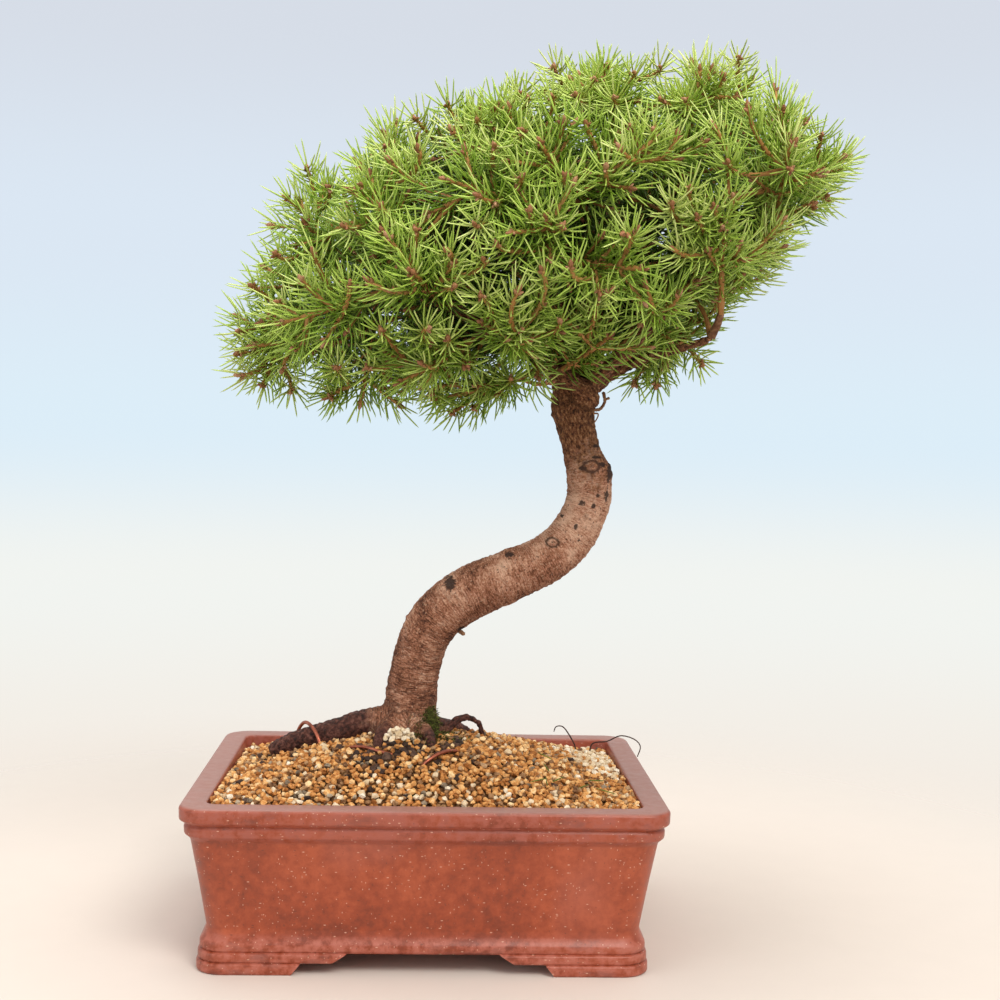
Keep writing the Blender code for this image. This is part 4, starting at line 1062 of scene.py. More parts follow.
def make_crown():
    """The branches, the sprays' stems with their side shoots, and all of them in one clearance."""
    rng = random.Random(CROWN_SEED)
    clearance = Clearance()
    clearance.add_route(smooth_route(TRUNK, TRUNK_STEPS), 0)
    for rows in LIMBS.values():
        clearance.add_route(smooth_route(rows, LIMB_STEPS), 0)
    perches = limb_perches()
    grown = []
    for number, target in enumerate(spray_targets(), 1):
        grown.append(placed_spray(rng, clearance, target, perches, number))
    shoots = 2 * FIRST_STEM
    for _, stem in grown:
        shoots = grow_laterals(rng, clearance, stem, shoots)
    for number, target in enumerate(LOW_TARGETS, SPRAYS + 1):
        grown.append(placed_spray(rng, clearance, target, perches, number))
        shoots = grow_laterals(rng, clearance, grown[-1][1], shoots)
    branches, stems = zip(*grown)
    return branches, stems, clearance


# Fine foliage

def needle_faces(rings):
    """The triangles of a needle with three sides, this many rings and a point."""
    faces = [(2, 1, 0)]
    for ring in range(rings - 1):
        faces += band_faces(3 * ring, 3 * ring + 3, 3)
    last = 3 * rings - 3
    faces += [(last + k, last + (k + 1) % 3, last + 3) for k in range(3)]
    return np.array(faces)


def unit(rows):
    return rows / np.linalg.norm(rows, axis=1, keepdims=True)


def kept_in_box(roots, reaches):
    """Needle vectors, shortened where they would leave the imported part's box."""
    tips = roots + reaches
    room = np.where(reaches > 0, BOX_HIGH - BOX_MARGIN - roots, BOX_LOW + BOX_MARGIN - roots)
    share = np.where(np.abs(reaches) > 1e-6, room / np.where(reaches == 0, 1, reaches), 1)
    outside = (tips > BOX_HIGH - BOX_MARGIN) | (tips < BOX_LOW + BOX_MARGIN)
    share = np.where(outside, np.clip(share, 0.05, 1), 1).min(axis=1)
    return reaches * share[:, None]


def add_needles(heap, roots, aims, bends, lengths, radius, tints, shape):
    """One curved three-sided needle for each root, with its aim, bend and length."""
    reaches = kept_in_box(roots, (aims + bends) * lengths[:, None])
    curves = bends * lengths[:, None]
    starts = reaches - curves
    across = unit(np.cross(aims, (0.31, 0.17, 0.93)))
    other = np.cross(aims, across)
    rings = []
    for share, swell in shape:
        centre = roots + starts * share + curves * share * share
        for k in range(3):
            angle = 2 * math.pi * k / 3 + 0.4
            rings.append(centre + (across * math.cos(angle) + other * math.sin(angle)) * radius * swell)
    rings.append(roots + reaches)
    points = np.stack(rings, axis=1)
    count, each = points.shape[:2]
    faces = needle_faces(len(shape))[None] + (np.arange(count) * each)[:, None, None]
    heap.add(points, faces, 0, np.repeat(tints, each))


def shaded_depth(place):
    """How many of the millimetres that darken foliage lie between a place and the crown's outside."""
    return min(max(depth_inside(place) - DEPTH_FROM, 0.0), DEPTH_OVER)


def leafy_shoot(heap, rng, shoot, first, tint, needles=OUTER_NEEDLES):
    """Needles all round a shoot from a share of its length to its tip, leaning forward and up."""
    per_mm, lengths, rings = needles
    count = max(LEAST_NEEDLES, round(shoot.length * (1 - first) * per_mm))
    shares = first + (1 - first) * (np.arange(count) + rng.uniform(*NEEDLE_STRAY, count)) / count
    places = np.array([shoot.place(t) for t in shares])
    headings = np.array([shoot.heading(t) for t in shares])
    across = unit(np.cross(headings, (0.13, 0.29, 0.95)))
    other = np.cross(headings, across)
    turns = rng.uniform(0, 6.3) + GOLDEN_TURN * np.arange(count) + rng.normal(0, 0.08, count)
    outward = across * np.cos(turns)[:, None] + other * np.sin(turns)[:, None]
    leans = between((ROOT_LEAN, TIP_LEAN), shares ** LEAN_POWER) + rng.normal(0, LEAN_SWING, count)
    leans = np.where(shares > BUD_WHORL, rng.uniform(*BUD_LEAN, count), leans)
    leans = np.radians(leans)[:, None]
    aims = headings * np.cos(leans) + outward * np.sin(leans)
    bends = headings * NEEDLE_BEND + np.array((0, 0, NEEDLE_RISE))
    bends = bends * rng.uniform(*BEND_RANGE, count)[:, None] - outward * BEND_BACK
    size = rng.uniform(*lengths, count) * (0.8 + 0.2 * np.sin(np.pi * (0.3 + 0.6 * shares)))
    radii = np.array([shoot.radius(t) for t in shares])[:, None]
    depths = [shaded_depth(shoot.place(t)) for t in SHADE_SHARES]
    shade = DEPTH_SHADE * np.interp(shares, SHADE_SHARES, depths)
    tints = tint + YOUNG_TINT * (shares - YOUNG_FROM) - shade + rng.normal(0, NEEDLE_TINTS, count)
    tints = np.clip(tints, 0, 1)
    add_needles(heap, places + outward * radii * 0.6, aims, bends, size, NEEDLE_RADIUS, tints, rings)


def add_bud(heap, place, heading, length, radius, tint):
    """A scaly pointed bud."""
    across = heading.orthogonal().normalized()
    other = heading.cross(across)
    points = []
    for number, (share, swell) in enumerate(BUD_RINGS):
        for k in range(BUD_SIDES):
            angle = 2 * math.pi * (k + 0.5 * number) / BUD_SIDES
            scale = radius * swell * BUD_SCALES[k % 2]
            points.append(place + heading * length * share
                          + (across * math.cos(angle) + other * math.sin(angle)) * scale)
    faces = []
    for number in range(len(BUD_RINGS) - 1):
        faces += band_faces(number * BUD_SIDES, (number + 1) * BUD_SIDES, BUD_SIDES)
    tip = len(points)
    points.append(place + heading * length)
    top = tip - BUD_SIDES
    faces += [(top + k, top + (k + 1) % BUD_SIDES, tip) for k in range(BUD_SIDES)]
    faces += [(0, k + 1, k) for k in range(1, BUD_SIDES - 1)]
    heap.add(np.array(points), faces, 2, tint)


def spoke_at(heading, degrees):
    """A direction square to a heading, turned round it."""
    return turned(heading.orthogonal().normalized(), heading, degrees)


def woody_shoot(heap, rng, shoot, tint, plain=False):
    """The shoot's own ridged twig and the buds at its tip, only one of them on a plain shoot."""
    shares = [ring / (SHOOT_RINGS - 1) for ring in range(SHOOT_RINGS)]
    rows = [(*shoot.place(t), shoot.radius(t)) for t in shares]
    shaded = max(0.0, tint - DEPTH_SHADE * shaded_depth(shoot.place(TWIG_SHADE_AT)))
    heap.add_tube(rows, SHOOT_SIDES, SHOOT_RIDGE, 1, shaded)
    heading = shoot.heading(1)
    tip = shoot.place(1)
    size = rng.uniform(*BUD_SIZES)
    add_bud(heap, tip, heading, BUD_LENGTH * size, BUD_RADIUS * size, rng.uniform(*BUD_TINTS))
    side = spoke_at(heading, rng.uniform(0, 360))
    for turn in SIDE_BUD_TURNS[:0 if plain else rng.integers(1, 4)]:
        out = turned(side, heading, turn)
        way = (heading * SIDE_BUD_LEAN + out).normalized()
        root = tip - heading * SIDE_BUD_BACK + out * SIDE_BUD_OUT
        share = SIDE_BUD_SHARE * size
        add_bud(heap, root, way, BUD_LENGTH * share, BUD_RADIUS * share, rng.uniform(*BUD_TINTS))


def side_shoot(rng, clearance, parent, share, side, lengths, relatives):
    """A short shoot from a place along another, where it has room inside the crown, or nothing."""
    for attempt in range(TRIES):
        angle = math.radians(rng.uniform(*SIDE_SHOOT_ANGLE))
        heading = parent.heading(share)
        swing = rng.uniform(-SIDE_SHOOT_SWING, SIDE_SHOOT_SWING)
        aim = turned(heading * math.cos(angle) + side * math.sin(angle), heading, swing)
        length = rng.uniform(*lengths) * (1 - SIDE_SHORTER * attempt)
        place = curved_shoot(parent.place(share), aim.normalized(), length, rng.uniform(*SIDE_SHOOT_LIFT))
        if depth_inside(place(1)) < TIP_DEPTH:
            continue
        if shoot_room(clearance, place, SIDE_SHOOT_RADII, 1, relatives) > FINE_CLEARANCE:
            clearance.add_route(shoot_rows(place, SIDE_SHOOT_RADII), parent.number)
            return Shoot(place, SIDE_SHOOT_RADII, length, parent.number)
    return None


class Run:
    """A stretch of bare wood as a shoot: a place and a heading for each share of its length."""

    def __init__(self, rows, number):
        self.rows = smooth_route(rows, 4)
        self.number = number
        points = np.array(self.rows)[:, :3]
        self.length = float(np.linalg.norm(np.diff(points, axis=0), axis=1).sum())

    def place(self, t):
        spot = min(max(t, 0.0), 1.0) * (len(self.rows) - 1)
        low = min(int(spot), len(self.rows) - 2)
        return Vector(self.rows[low][:3]).lerp(Vector(self.rows[low + 1][:3]), spot - low)

    def heading(self, t):
        return (self.place(t + RUN_SPAN) - self.place(t - RUN_SPAN)).normalized()


def shoots_along(rng, clearance, run, first, pitch):
    """Short shoots spaced along a stretch of wood, turned round it from one to the next."""
    found = []
    count = max(1, int(run.length * (1 - first) / pitch))
    turn = rng.uniform(0, 360)
    for number in range(count):
        turn += SPIRAL
        share = first + (1 - first) * (number + rng.uniform(0.2, 0.8)) / count
        side = spoke_at(run.heading(share), turn)
        found.append(side_shoot(rng, clearance, run, share, side, SIDE_SHOOT_LENGTH, (run.number,)))
    return [shoot for shoot in found if shoot]


def short_shoots(rng, clearance, stem):
    """Short shoots near the foot of a spray's stem, beside the shoots of the plain spray."""
    relatives = (stem.number, *(lateral.number for lateral in stem.laterals))
    turn = rng.uniform(0, 360) + rng.uniform(60, 120)
    found = []
    for half in (0, 180):
        side = spoke_at(stem.heading(SIDE_SHOOT_PLACE), turn + half)
        found.append(side_shoot(rng, clearance, stem, SIDE_SHOOT_PLACE, side, SIDE_SHOOT_LENGTH, relatives))
    return [shoot for shoot in found if shoot]


def spray_tint(place):
    """How yellow and light a spray's needles are: more so high up, as painted light from above, and on the
    left, and in patches.
    """
    high = (place.z - CROWN_MIDDLE.z) / 100
    wave = noise.noise(place * PATCH_SCALE)
    left = (CROWN_MIDDLE.x - place.x) / 150
    return SPRAY_TINT + TOP_LIGHT_TINT * high + LEFT_TINT * left + PATCH_TINT * wave


def make_spray(number, stem, rng, clearance, finishes):
    heap = Heap()
    others = stem.laterals + short_shoots(rng, clearance, stem)
    tint = spray_tint(stem.place(1))
    for shoot, first in [(stem, STEM_BARE)] + [(other, LATERAL_BARE) for other in others]:
        own = tint + rng.uniform(-SHOOT_TINTS, SHOOT_TINTS)
        woody_shoot(heap, rng, shoot, rng.uniform(*TWIG_TINTS))
        leafy_shoot(heap, rng, shoot, first, own)
    name = f"spray_{number:02d}"
    return finish_piece(heap.made("fine_" + name, finishes), "foliage", name)


def fill_perches(branches, stems):
    """Places along branches, stems, their shoots and the limbs where a filling shoot may leave."""
    perches = [(point, heading, 0) for point, heading, _ in limb_perches()]
    runs = [(Run(rows, number), BRANCH_PERCHES) for number, rows in enumerate(branches, 1)]
    for stem in stems:
        runs.append((stem, STEM_PERCHES))
        runs += [(lateral, LATERAL_PERCHES) for lateral in stem.laterals]
    for run, places in runs:
        perches += [(run.place(t), run.heading(t), run.number) for t in places]
    return perches


def fill_targets(share, count, tips):
    """Even points of a shell inside the crown, each the farthest from the tips there already."""
    shell = [CROWN_MIDDLE + (point - CROWN_MIDDLE) * share for point in crown_shell()]
    nearest = np.array([np.linalg.norm(tips - place, axis=1).min() for place in np.array(shell)])
    return spread_out(shell, [], nearest, count)


def arc_shoot(clearance, perch, bend, tip, number):
    """A shoot from a perch on an arc to a tip, if it has room."""
    foot, _, owner = perch

    def place(t):
        return arc_point(foot, bend, tip, t)

    if shoot_room(clearance, place, FILL_STEM_RADII, 1, (owner, number)) <= FINE_CLEARANCE:
        return None
    clearance.add_route(shoot_rows(place, FILL_STEM_RADII), number)
    return Shoot(place, FILL_STEM_RADII, (tip - foot).length, number)


def bare_share(rng, shoot):
    """The share of a filling shoot that has no needles."""
    return max(FILL_BARE, 1 - rng.uniform(*FILL_LENGTH) / shoot.length)


def fill_shoot(clearance, target, perches, reach, number):
    """A shoot from the best perch with room to a target, which leaves the wood sideways."""
    ranked = sorted(perches, key=lambda perch: branch_cost((*perch[:2], 0), target) if
                    (target - perch[0]).length > FILL_LEAST + TIP_TO_OUTLINE else math.inf)
    for perch in ranked[:FILL_TRIES]:
        foot, leaving, _ = perch
        tip = target - (target - foot).normalized() * TIP_TO_OUTLINE
        if (tip - foot).length > reach:
            continue
        bend = foot + (leaving + (tip - foot).normalized()).normalized() * (tip - foot).length * ARC_BEND
        shoot = arc_shoot(clearance, perch, bend, tip, number)
        if shoot:
            return shoot
    return None


def seen_at(across, down, depth):
    """The place that the photograph shows at a pixel, at a distance behind the pot's middle."""
    yaw, pitch, roll = (math.radians(angle) for angle in (YAW, PITCH, ROLL))
    right = Vector((math.cos(yaw), -math.sin(yaw), 0))
    ahead = Vector((math.sin(yaw) * math.cos(pitch), math.cos(yaw) * math.cos(pitch), -math.sin(pitch)))
    up = right.cross(ahead)
    flat = Matrix.Rotation(roll, 2) @ Vector((across - PHOTO_WIDTH / 2, PHOTO_WIDTH / 2 - down))
    ray = right * flat.x / FOCAL_PIXELS + up * flat.y / FOCAL_PIXELS + ahead
    return EYE + ray * (depth - EYE.y) / ray.y


def seen_on_front(across, down):
    """The place on the crown's front, needle tips apart, that the photograph shows at a pixel."""
    spot = seen_at(across, down, 0.0)
    for _ in range(FRONT_ROUNDS):
        way = spot - CROWN_MIDDLE
        angle = math.degrees(math.atan2(way.z, way.x)) % 360
        side = float(np.interp(angle, OUTLINE_ANGLES, OUTLINE_REACH, period=360)) - TIP_TO_OUTLINE
        share = min(math.hypot(way.x, way.z) / side, FRONT_EDGE)
        spot = seen_at(across, down, -(CROWN_HALF_DEPTH - TIP_TO_OUTLINE) * math.sqrt(1 - share * share))
    return spot


def seen_shoot(clearance, tip, low, perches, number):
    """A shoot to a tip, through a lower place if it can, from the nearest perch with room."""
    back = (low - tip).normalized()
    near, far = SEEN_REACH
    ranked = sorted(perches, key=lambda perch: (perch[0] - low).length if
                    near < (tip - perch[0]).length < far else math.inf)
    for perch in ranked[:SEEN_TRIES]:
        length = (tip - perch[0]).length
        if not near < length < far:
            return None
        shoot = arc_shoot(clearance, perch, tip + back * length * SEEN_BEND, tip, number)
        if shoot:
            return shoot
    return None


def seen_shoots(clearance, perches, number):
    """The shoots that the photograph shows, each with room among the others."""
    found = []
    for across, down, low_across, low_down in SEEN_SHOOTS:
        number += 1
        front = seen_on_front(across, down)
        for shift in SEEN_SHIFTS:
            tip = seen_at(across, down, front.y + shift)
            low = seen_at(low_across, low_down, tip.y)
            behind = math.sqrt(max(SEEN_LENGTH ** 2 - (low - tip).length_squared, SEEN_LEAST_DEPTH ** 2))
            low = seen_at(low_across, low_down, tip.y + behind)
            shoot = seen_shoot(clearance, tip, low, perches, number)
            if shoot:
                found.append(shoot)
                break
    return found


def fill_heap(heaps, place):
    """The heap for the side of the crown that a place is on."""
    turn = math.atan2(place.y, place.x - CROWN_MIDDLE.x) / (2 * math.pi) + 0.5
    return heaps[min(FILL_PIECES - 1, int(FILL_PIECES * turn))]


def make_fill_shoots(branches, stems, rng, clearance, finishes):
    """Shoots that fill the crown wherever the tips of the sprays stand far apart, some of them deeper in."""
    perches = fill_perches(branches, stems)
    tips = np.array([shoot.place(1) for stem in stems for shoot in [stem] + stem.laterals])
    heaps = [Heap() for _ in range(FILL_PIECES)]
    number = 3 * FIRST_STEM + len(tips)
    for shoot in seen_shoots(clearance, perches, number):
        tips = np.vstack((tips, shoot.place(1)))
        heap = fill_heap(heaps, shoot.place(1))
        tint = spray_tint(shoot.place(1)) + rng.uniform(*SEEN_TINTS)
        woody_shoot(heap, rng, shoot, rng.uniform(*TWIG_TINTS))
        leafy_shoot(heap, rng, shoot, bare_share(rng, shoot), tint)
    number += len(SEEN_SHOOTS)
    for share, count, shell_shading, reach in FILL_SHELLS:
        plain = share < PLAIN_SHARE
        for target in fill_targets(share, count, tips):
            number += 1
            shoot = fill_shoot(clearance, target, perches, reach, number)
            if shoot:
                tips = np.vstack((tips, shoot.place(1)))
                dress_fill_shoot(fill_heap(heaps, target), rng, clearance, shoot, shell_shading, plain)
    for part, heap in enumerate(heaps, 1):
        finish_piece(heap.made(f"fill_shoots_{part}", finishes), "foliage")


def dress_fill_shoot(heap, rng, clearance, shoot, shell_shading, plain):
    """The wood, buds and needles of a filling shoot, and of two short ones at its sides where they fit."""
    bare = bare_share(rng, shoot)
    # Shoots of the deeper shells are darker: painted shade.
    tint = spray_tint(shoot.place(1)) + shell_shading + rng.uniform(*FILL_TINTS)
    needles = DEEP_NEEDLES if plain else OUTER_NEEDLES
    woody_shoot(heap, rng, shoot, rng.uniform(*TWIG_TINTS), plain)
    leafy_shoot(heap, rng, shoot, bare, tint, needles)
    place = bare + (1 - bare) * rng.uniform(*FILL_SIDE_PLACE)
    side = spoke_at(shoot.heading(place), rng.uniform(0, 360))
    for way in (side, -side):
        short = side_shoot(rng, clearance, shoot, place, way, FILL_SIDE_LENGTH, (shoot.number,))
        if short:
            woody_shoot(heap, rng, short, rng.uniform(*TWIG_TINTS), plain)
            leafy_shoot(heap, rng, short, FILL_SIDE_BARE, tint, needles)


def make_inner_shoots(branches, rng, clearance, finishes):
    """The shaded shoots on the branches and on the outer parts of the limbs."""
    runs = [(Run(rows, number), BRANCH_BARE_SHARE, BRANCH_SHOOT_PITCH)
            for number, rows in enumerate(branches, 1)]
    for name, rows in LIMBS.items():
        first = BARE_SHARE if name in BARE_LIMBS else LEAFY_LIMB_BARE_SHARE
        runs.append((Run(smooth_route(rows, LIMB_STEPS), 0), first, LIMB_SHOOT_PITCH))
    for part in range(2):
        heap = Heap()
        for run, first, pitch in runs[part::2]:
            for shoot in shoots_along(rng, clearance, run, first, pitch):
                woody_shoot(heap, rng, shoot, rng.uniform(*INNER_SHADED_TWIG_TINTS), True)
                tint = INNER_SHADED_TINT + rng.uniform(-INNER_TINTS, INNER_TINTS)
                leafy_shoot(heap, rng, shoot, INNER_BARE, tint, INNER_NEEDLES)
        finish_piece(heap.made(f"inner_shoots_{part + 1}", finishes), "foliage")


# Fine wood

class Centrelines:
    """Centre lines of trunk, roots and limbs, for finding where on the wood a point lies."""

    def __init__(self, routes):
        self.rows = []
        for name, rows in routes:
            route = [Vector(row[:3]) for row in rows]
            headings = directions(route)
            spokes = carried_spokes(headings, headings[0].orthogonal())
            along = 0.0
            start = sum(ord(letter) for letter in name) * 7.0
            for index, (centre, heading, spoke, row) in enumerate(zip(route, headings, spokes, rows)):
                if index:
                    along += (centre - route[index - 1]).length
                other = heading.cross(spoke)
                self.rows.append((centre, heading, spoke, other, row[3], start + along))
        self.tree = kdtree.KDTree(len(self.rows))
        for index, row in enumerate(self.rows):
            self.tree.insert(row[0], index)
        self.tree.balance()

    def straightened(self, point):
        """The point as it would lie on straight wood: two coordinates across and one along."""
        near = self.tree.find_n(point, NEAR_ROWS)
        index = min(near, key=lambda found: found[2] - self.rows[found[1]][4])[1]
        centre, heading, spoke, other, _, along = self.rows[index]
        offset = point - centre
        return Vector((offset.dot(spoke), offset.dot(other), along + offset.dot(heading)))


def fused(name, parts, finish):
    """One body from overlapping tubes, its joints rounded off."""
    heap = Heap()
    for rows, sides in parts:
        heap.add_tube(rows, sides)
    whole = heap.made(name, [finish])
    remesh = whole.modifiers.new("fuse", "REMESH")
    remesh.mode = "VOXEL"
    remesh.voxel_size = WOOD_VOXEL
    smooth = whole.modifiers.new("round", "SMOOTH")
    smooth.iterations = WOOD_SMOOTHING
    smooth.factor = 0.5
    apply_modifiers(whole, finish)
    return whole


def stretched(place, across, along):
    return Vector((place.x * across, place.y * across, place.z * along))


def bark_relief(straight, place):
    """How far the bark stands out, in millimetres: lumps, ring wrinkles and, above, rough plates."""
    lumps = LUMP_HEIGHT * noise.noise(straight * LUMP_SCALE)
    rings = RING_HEIGHT * noise.noise(stretched(straight, *RING_SCALES))
    flakes = FLAKE_HEIGHT * noise.noise(stretched(straight, *FLAKE_SCALES))
    rough = max(rough_share(place), ROOT_ROUGHNESS * root_share(place))
    plates = noise.turbulence(straight * PLATE_SCALE, 3, True, noise_basis="PERLIN_ORIGINAL")
    return lumps + rings * (1 - RINGS_LOST * rough) + flakes + rough * PLATE_HEIGHT * (plates - PLATE_LEVEL)


def ramp_share(value, low, high):
    """How far a value is between two limits, from 0 to 1."""
    return min(max((value - low) / (high - low), 0.0), 1.0)


def rough_share(place):
    """How much of the dark rough bark a place has: none low on the trunk, all of it from the fork up."""
    return ramp_share(place.z, ROUGH_BARK_FROM, ROUGH_BARK_FULL)


def root_share(place):
    """How much of the roots' dark bark a place has: more the further it lies from the trunk's foot."""
    if place.z > ROOT_BARK_TOP:
        return 0.0
    away = math.hypot(place.x - TRUNK[0][0], place.y - TRUNK[0][1])
    return ramp_share(away, ROOT_BARK_FROM, ROOT_BARK_FULL)


def stain_at(place):
    """How near the middle of a dark mark on the trunk's front a place is, from 0 to 1."""
    if place.y > STAIN_SIDE:
        return 0.0
    nearest = min(math.hypot((place.x - x) / wide, (place.z - z) / high) for x, z, wide, high in STAINS)
    return max(0.0, STAIN_FULL - STAIN_FADE * nearest)


def knot_distance(place):
    """How far a place is from the nearest knot's middle, as a share of that knot's radius, up to 3."""
    if place.y > 0:
        return RINGS_REACH
    return min(RINGS_REACH, min(math.hypot(place.x - x, RINGS_FLAT * (place.z - z)) / radius
                                for x, z, radius, _ in KNOTS[:RINGED_KNOTS]))


def knot_at(place):
    """How far the knots on the trunk's front stand out at a place, each with a dent in its middle."""
    height = 0.0
    for x, z, radius, stand in KNOTS:
        away = math.hypot(place.x - x, place.z - z) / radius
        dent = KNOT_DENT * stand * math.exp(-(away * DENT_SIZE) ** 2)
        height += stand * math.exp(-away * away) - dent
    return height * ramp_share(place.y, *KNOT_SIDE)


def make_wood(finish):
    """Trunk, roots and limbs in one body, with relief and with the values that colour the bark."""
    named = {"trunk": TRUNK}
    named.update(("root_" + name, rows) for name, rows in ROOTS.items())
    named.update(("limb_" + name, rows) for name, rows in LIMBS.items())
    named["fork_ridge"] = FORK_RIDGE
    routes = [(name, smooth_route(rows, FINE_STEPS)) for name, rows in named.items()]
    parts = [(rows, FINE_TRUNK_SIDES if name == "trunk" else FINE_LIMB_SIDES) for name, rows in routes]
    wood = fused("trunk_roots_and_limbs", parts, finish)
    lines = Centrelines(routes)
    places = [vertex.co.copy() for vertex in wood.data.vertices]
    normals = [vertex.normal.copy() for vertex in wood.data.vertices]
    bark = [lines.straightened(place) for place in places]
    for vertex, place, normal, straight in zip(wood.data.vertices, places, normals, bark):
        vertex.co = place + normal * (bark_relief(straight, place) + knot_at(place))
    put_values(wood.data, "bark", [tuple(straight) for straight in bark])
    stored = {"rough": rough_share, "stain": stain_at, "root": root_share, "knot": knot_distance}
    for name, value_at in stored.items():
        put_values(wood.data, name, [value_at(place) for place in places])
    return finish_piece(wood, "bark", "trunk")


def add_thin_wood(heap, rows, steps, ridge, tint):
    heap.add_tube(smooth_route(rows, steps), BRANCH_FINE_SIDES, ridge, tint=tint)


def make_branches(branches, finish):
    """The thin branches that carry the sprays, and the dead twigs."""
    heap = Heap()
    for number, rows in enumerate(branches):
        add_thin_wood(heap, rows, *BRANCH_WOOD, (number * BRANCH_TINTS) % 1)
    for rows in TWIGS.values():
        add_thin_wood(heap, rows, *TWIG_WOOD)
    for rows in THIN_TWIGS:
        add_thin_wood(heap, rows, *THIN_TWIG_WOOD)
    return finish_piece(heap.made("branches_and_twigs", [finish]), "bark", "trunk")


def make_rootlets(finish):
    heap = Heap()
    for rows in ROOTLETS:
        add_thin_wood(heap, rows, *ROOTLET_WOOD)
    return finish_piece(heap.made("rootlets", [finish]), "bark")


def make_wires(finish):
    for side, rows in WIRES.items():
        heap = Heap()
        heap.add_tube([(*row, WIRE_RADIUS) for row in smooth_route(rows, WIRE_STEPS)], WIRE_SIDES)
        finish_piece(heap.made("fine_wire_" + side, [finish]), "wire", "tie_wire_" + side)


# Soil

def inside_walls(x, y, height, margin):
    """The nearest point to x, y inside the pot's cavity at a height, with its round corners."""
    inset = cavity_inset(height) + margin
    half_x, half_y = RIM_HALF[0] - inset, RIM_HALF[1] - inset
    x = min(max(x, -half_x), half_x)
    y = min(max(y, -half_y), half_y)
    corner_x, corner_y = half_x - INNER_CORNER, half_y - INNER_CORNER
    past_x, past_y = abs(x) - corner_x, abs(y) - corner_y
    away = math.hypot(max(past_x, 0), max(past_y, 0))
    if past_x > 0 and past_y > 0 and away > INNER_CORNER:
        x = math.copysign(corner_x + past_x * INNER_CORNER / away, x)
        y = math.copysign(corner_y + past_y * INNER_CORNER / away, y)
    return x, y


def bed_point(x, y):
    """The point of the bed's top over a place, kept inside the pot's walls."""
    height = soil_height(x, y) - BED_DEPTH
    height += BED_RELIEF * noise.noise(Vector((x, y, 3)) * BED_SCALE)
    return (*inside_walls(x, y, height, BED_MARGIN), height)


def make_soil_bed(finish):
    """The fine soil between and under the grains: a body with the mound's top, dark as the soil's own colour
    and as painted shade in the gaps between the grains.
    """
    half_x, half_y = RIM_HALF[0] - RIM_WALL, RIM_HALF[1] - RIM_WALL
    columns, rows = (math.ceil(2 * half / BED_PITCH) for half in (half_x, half_y))
    points = [bed_point(half_x * (2 * column / columns - 1), half_y * (2 * row / rows - 1))
              for row in range(rows + 1) for column in range(columns + 1)]
    grid = np.arange(len(points)).reshape(rows + 1, columns + 1)
    squares = np.stack((grid[:-1, :-1], grid[:-1, 1:], grid[1:, 1:], grid[1:, :-1]), axis=-1)
    rim = [*grid[0], *grid[1:, -1], *grid[-1, -2::-1], *grid[-2:0:-1, 0]]
    foot = list(range(len(points), len(points) + len(rim)))
    points += [(*inside_walls(*points[corner][:2], SOIL_BOTTOM, BED_MARGIN), SOIL_BOTTOM)
               for corner in rim]
    faces = squares.reshape(-1, 4).tolist()
    for i in range(len(rim)):
        j = (i + 1) % len(rim)
        faces.append((int(rim[j]), int(rim[i]), foot[i], foot[j]))
    bed = new_object("soil_bed", points, faces + [foot[::-1]], finish)
    bed.data.shade_smooth()
    bed.data.set_sharp_from_angle(angle=math.radians(BED_SHARP))
    return finish_piece(bed, "soil", "soil")


def stone_shapes(rng):
    """A few angular stones of unit size, as points and triangles, each a hull of random points."""
    shapes = []
    for _ in range(STONE_SHAPES):
        stone = bmesh.new()
        for number in range(STONE_CORNERS):
            point = even_heading(number, STONE_CORNERS)
            point += Vector([rng.uniform(-CORNER_STRAY, CORNER_STRAY) for _ in range(3)])
            stone.verts.new(point.normalized() * rng.uniform(*CORNER_REACH))
        hull = bmesh.ops.convex_hull(stone, input=stone.verts[:])
        loose = [item for item in hull["geom_interior"] if isinstance(item, bmesh.types.BMVert)]
        bmesh.ops.delete(stone, geom=loose, context="VERTS")
        bmesh.ops.triangulate(stone, faces=stone.faces[:])
        stone.verts.index_update()
        points = np.array([vertex.co[:] for vertex in stone.verts])
        faces = np.array([[vertex.index for vertex in face.verts] for face in stone.faces])
        stone.free()
        shapes.append((points, faces))
    return shapes


def add_stone(heap, rng, shapes, centre, size, tint):
    points, faces = rng.choice(shapes)
    stretch = np.array([rng.uniform(*ends) for ends in STONE_STRETCH])
    turn = Matrix.Rotation(rng.uniform(0, 6.3), 3, "Z") @ Matrix.Rotation(rng.gauss(0, STONE_TIP), 3, "X")
    turn = turn @ Matrix.Rotation(rng.uniform(0, 6.3), 3, "Z")
    heap.add(points * stretch * size @ np.array(turn).T + np.array(centre), faces, 0, tint)


def wood_in_soil():
    """The rods of trunk, roots and wires, which the grains lie round."""
    rods = Clearance()
    for rows in (TRUNK[:SOIL_ROWS], *ROOTS.values()):
        rods.add_route(smooth_route(rows, ROD_STEPS), 0)
    for rows in WIRES.values():
        rods.add_route([(*row, WIRE_RADIUS) for row in smooth_route(rows, ROD_STEPS)], 0)
    return rods


def grain_kind(rng, x, y):
    """The kind of a grain at a place, more often pale or dark where those gather."""
    weights = []
    for kind, share, _ in GRAIN_KINDS:
        more = sum(times * math.exp(-((x - at_x) / wide) ** 2 - ((y - at_y) / deep) ** 2)
                   for at_x, at_y, wide, deep, times in GATHERED.get(kind, ()))
        weights.append(share * (1 + more))
    return rng.choices(range(len(GRAIN_KINDS)), weights)[0]


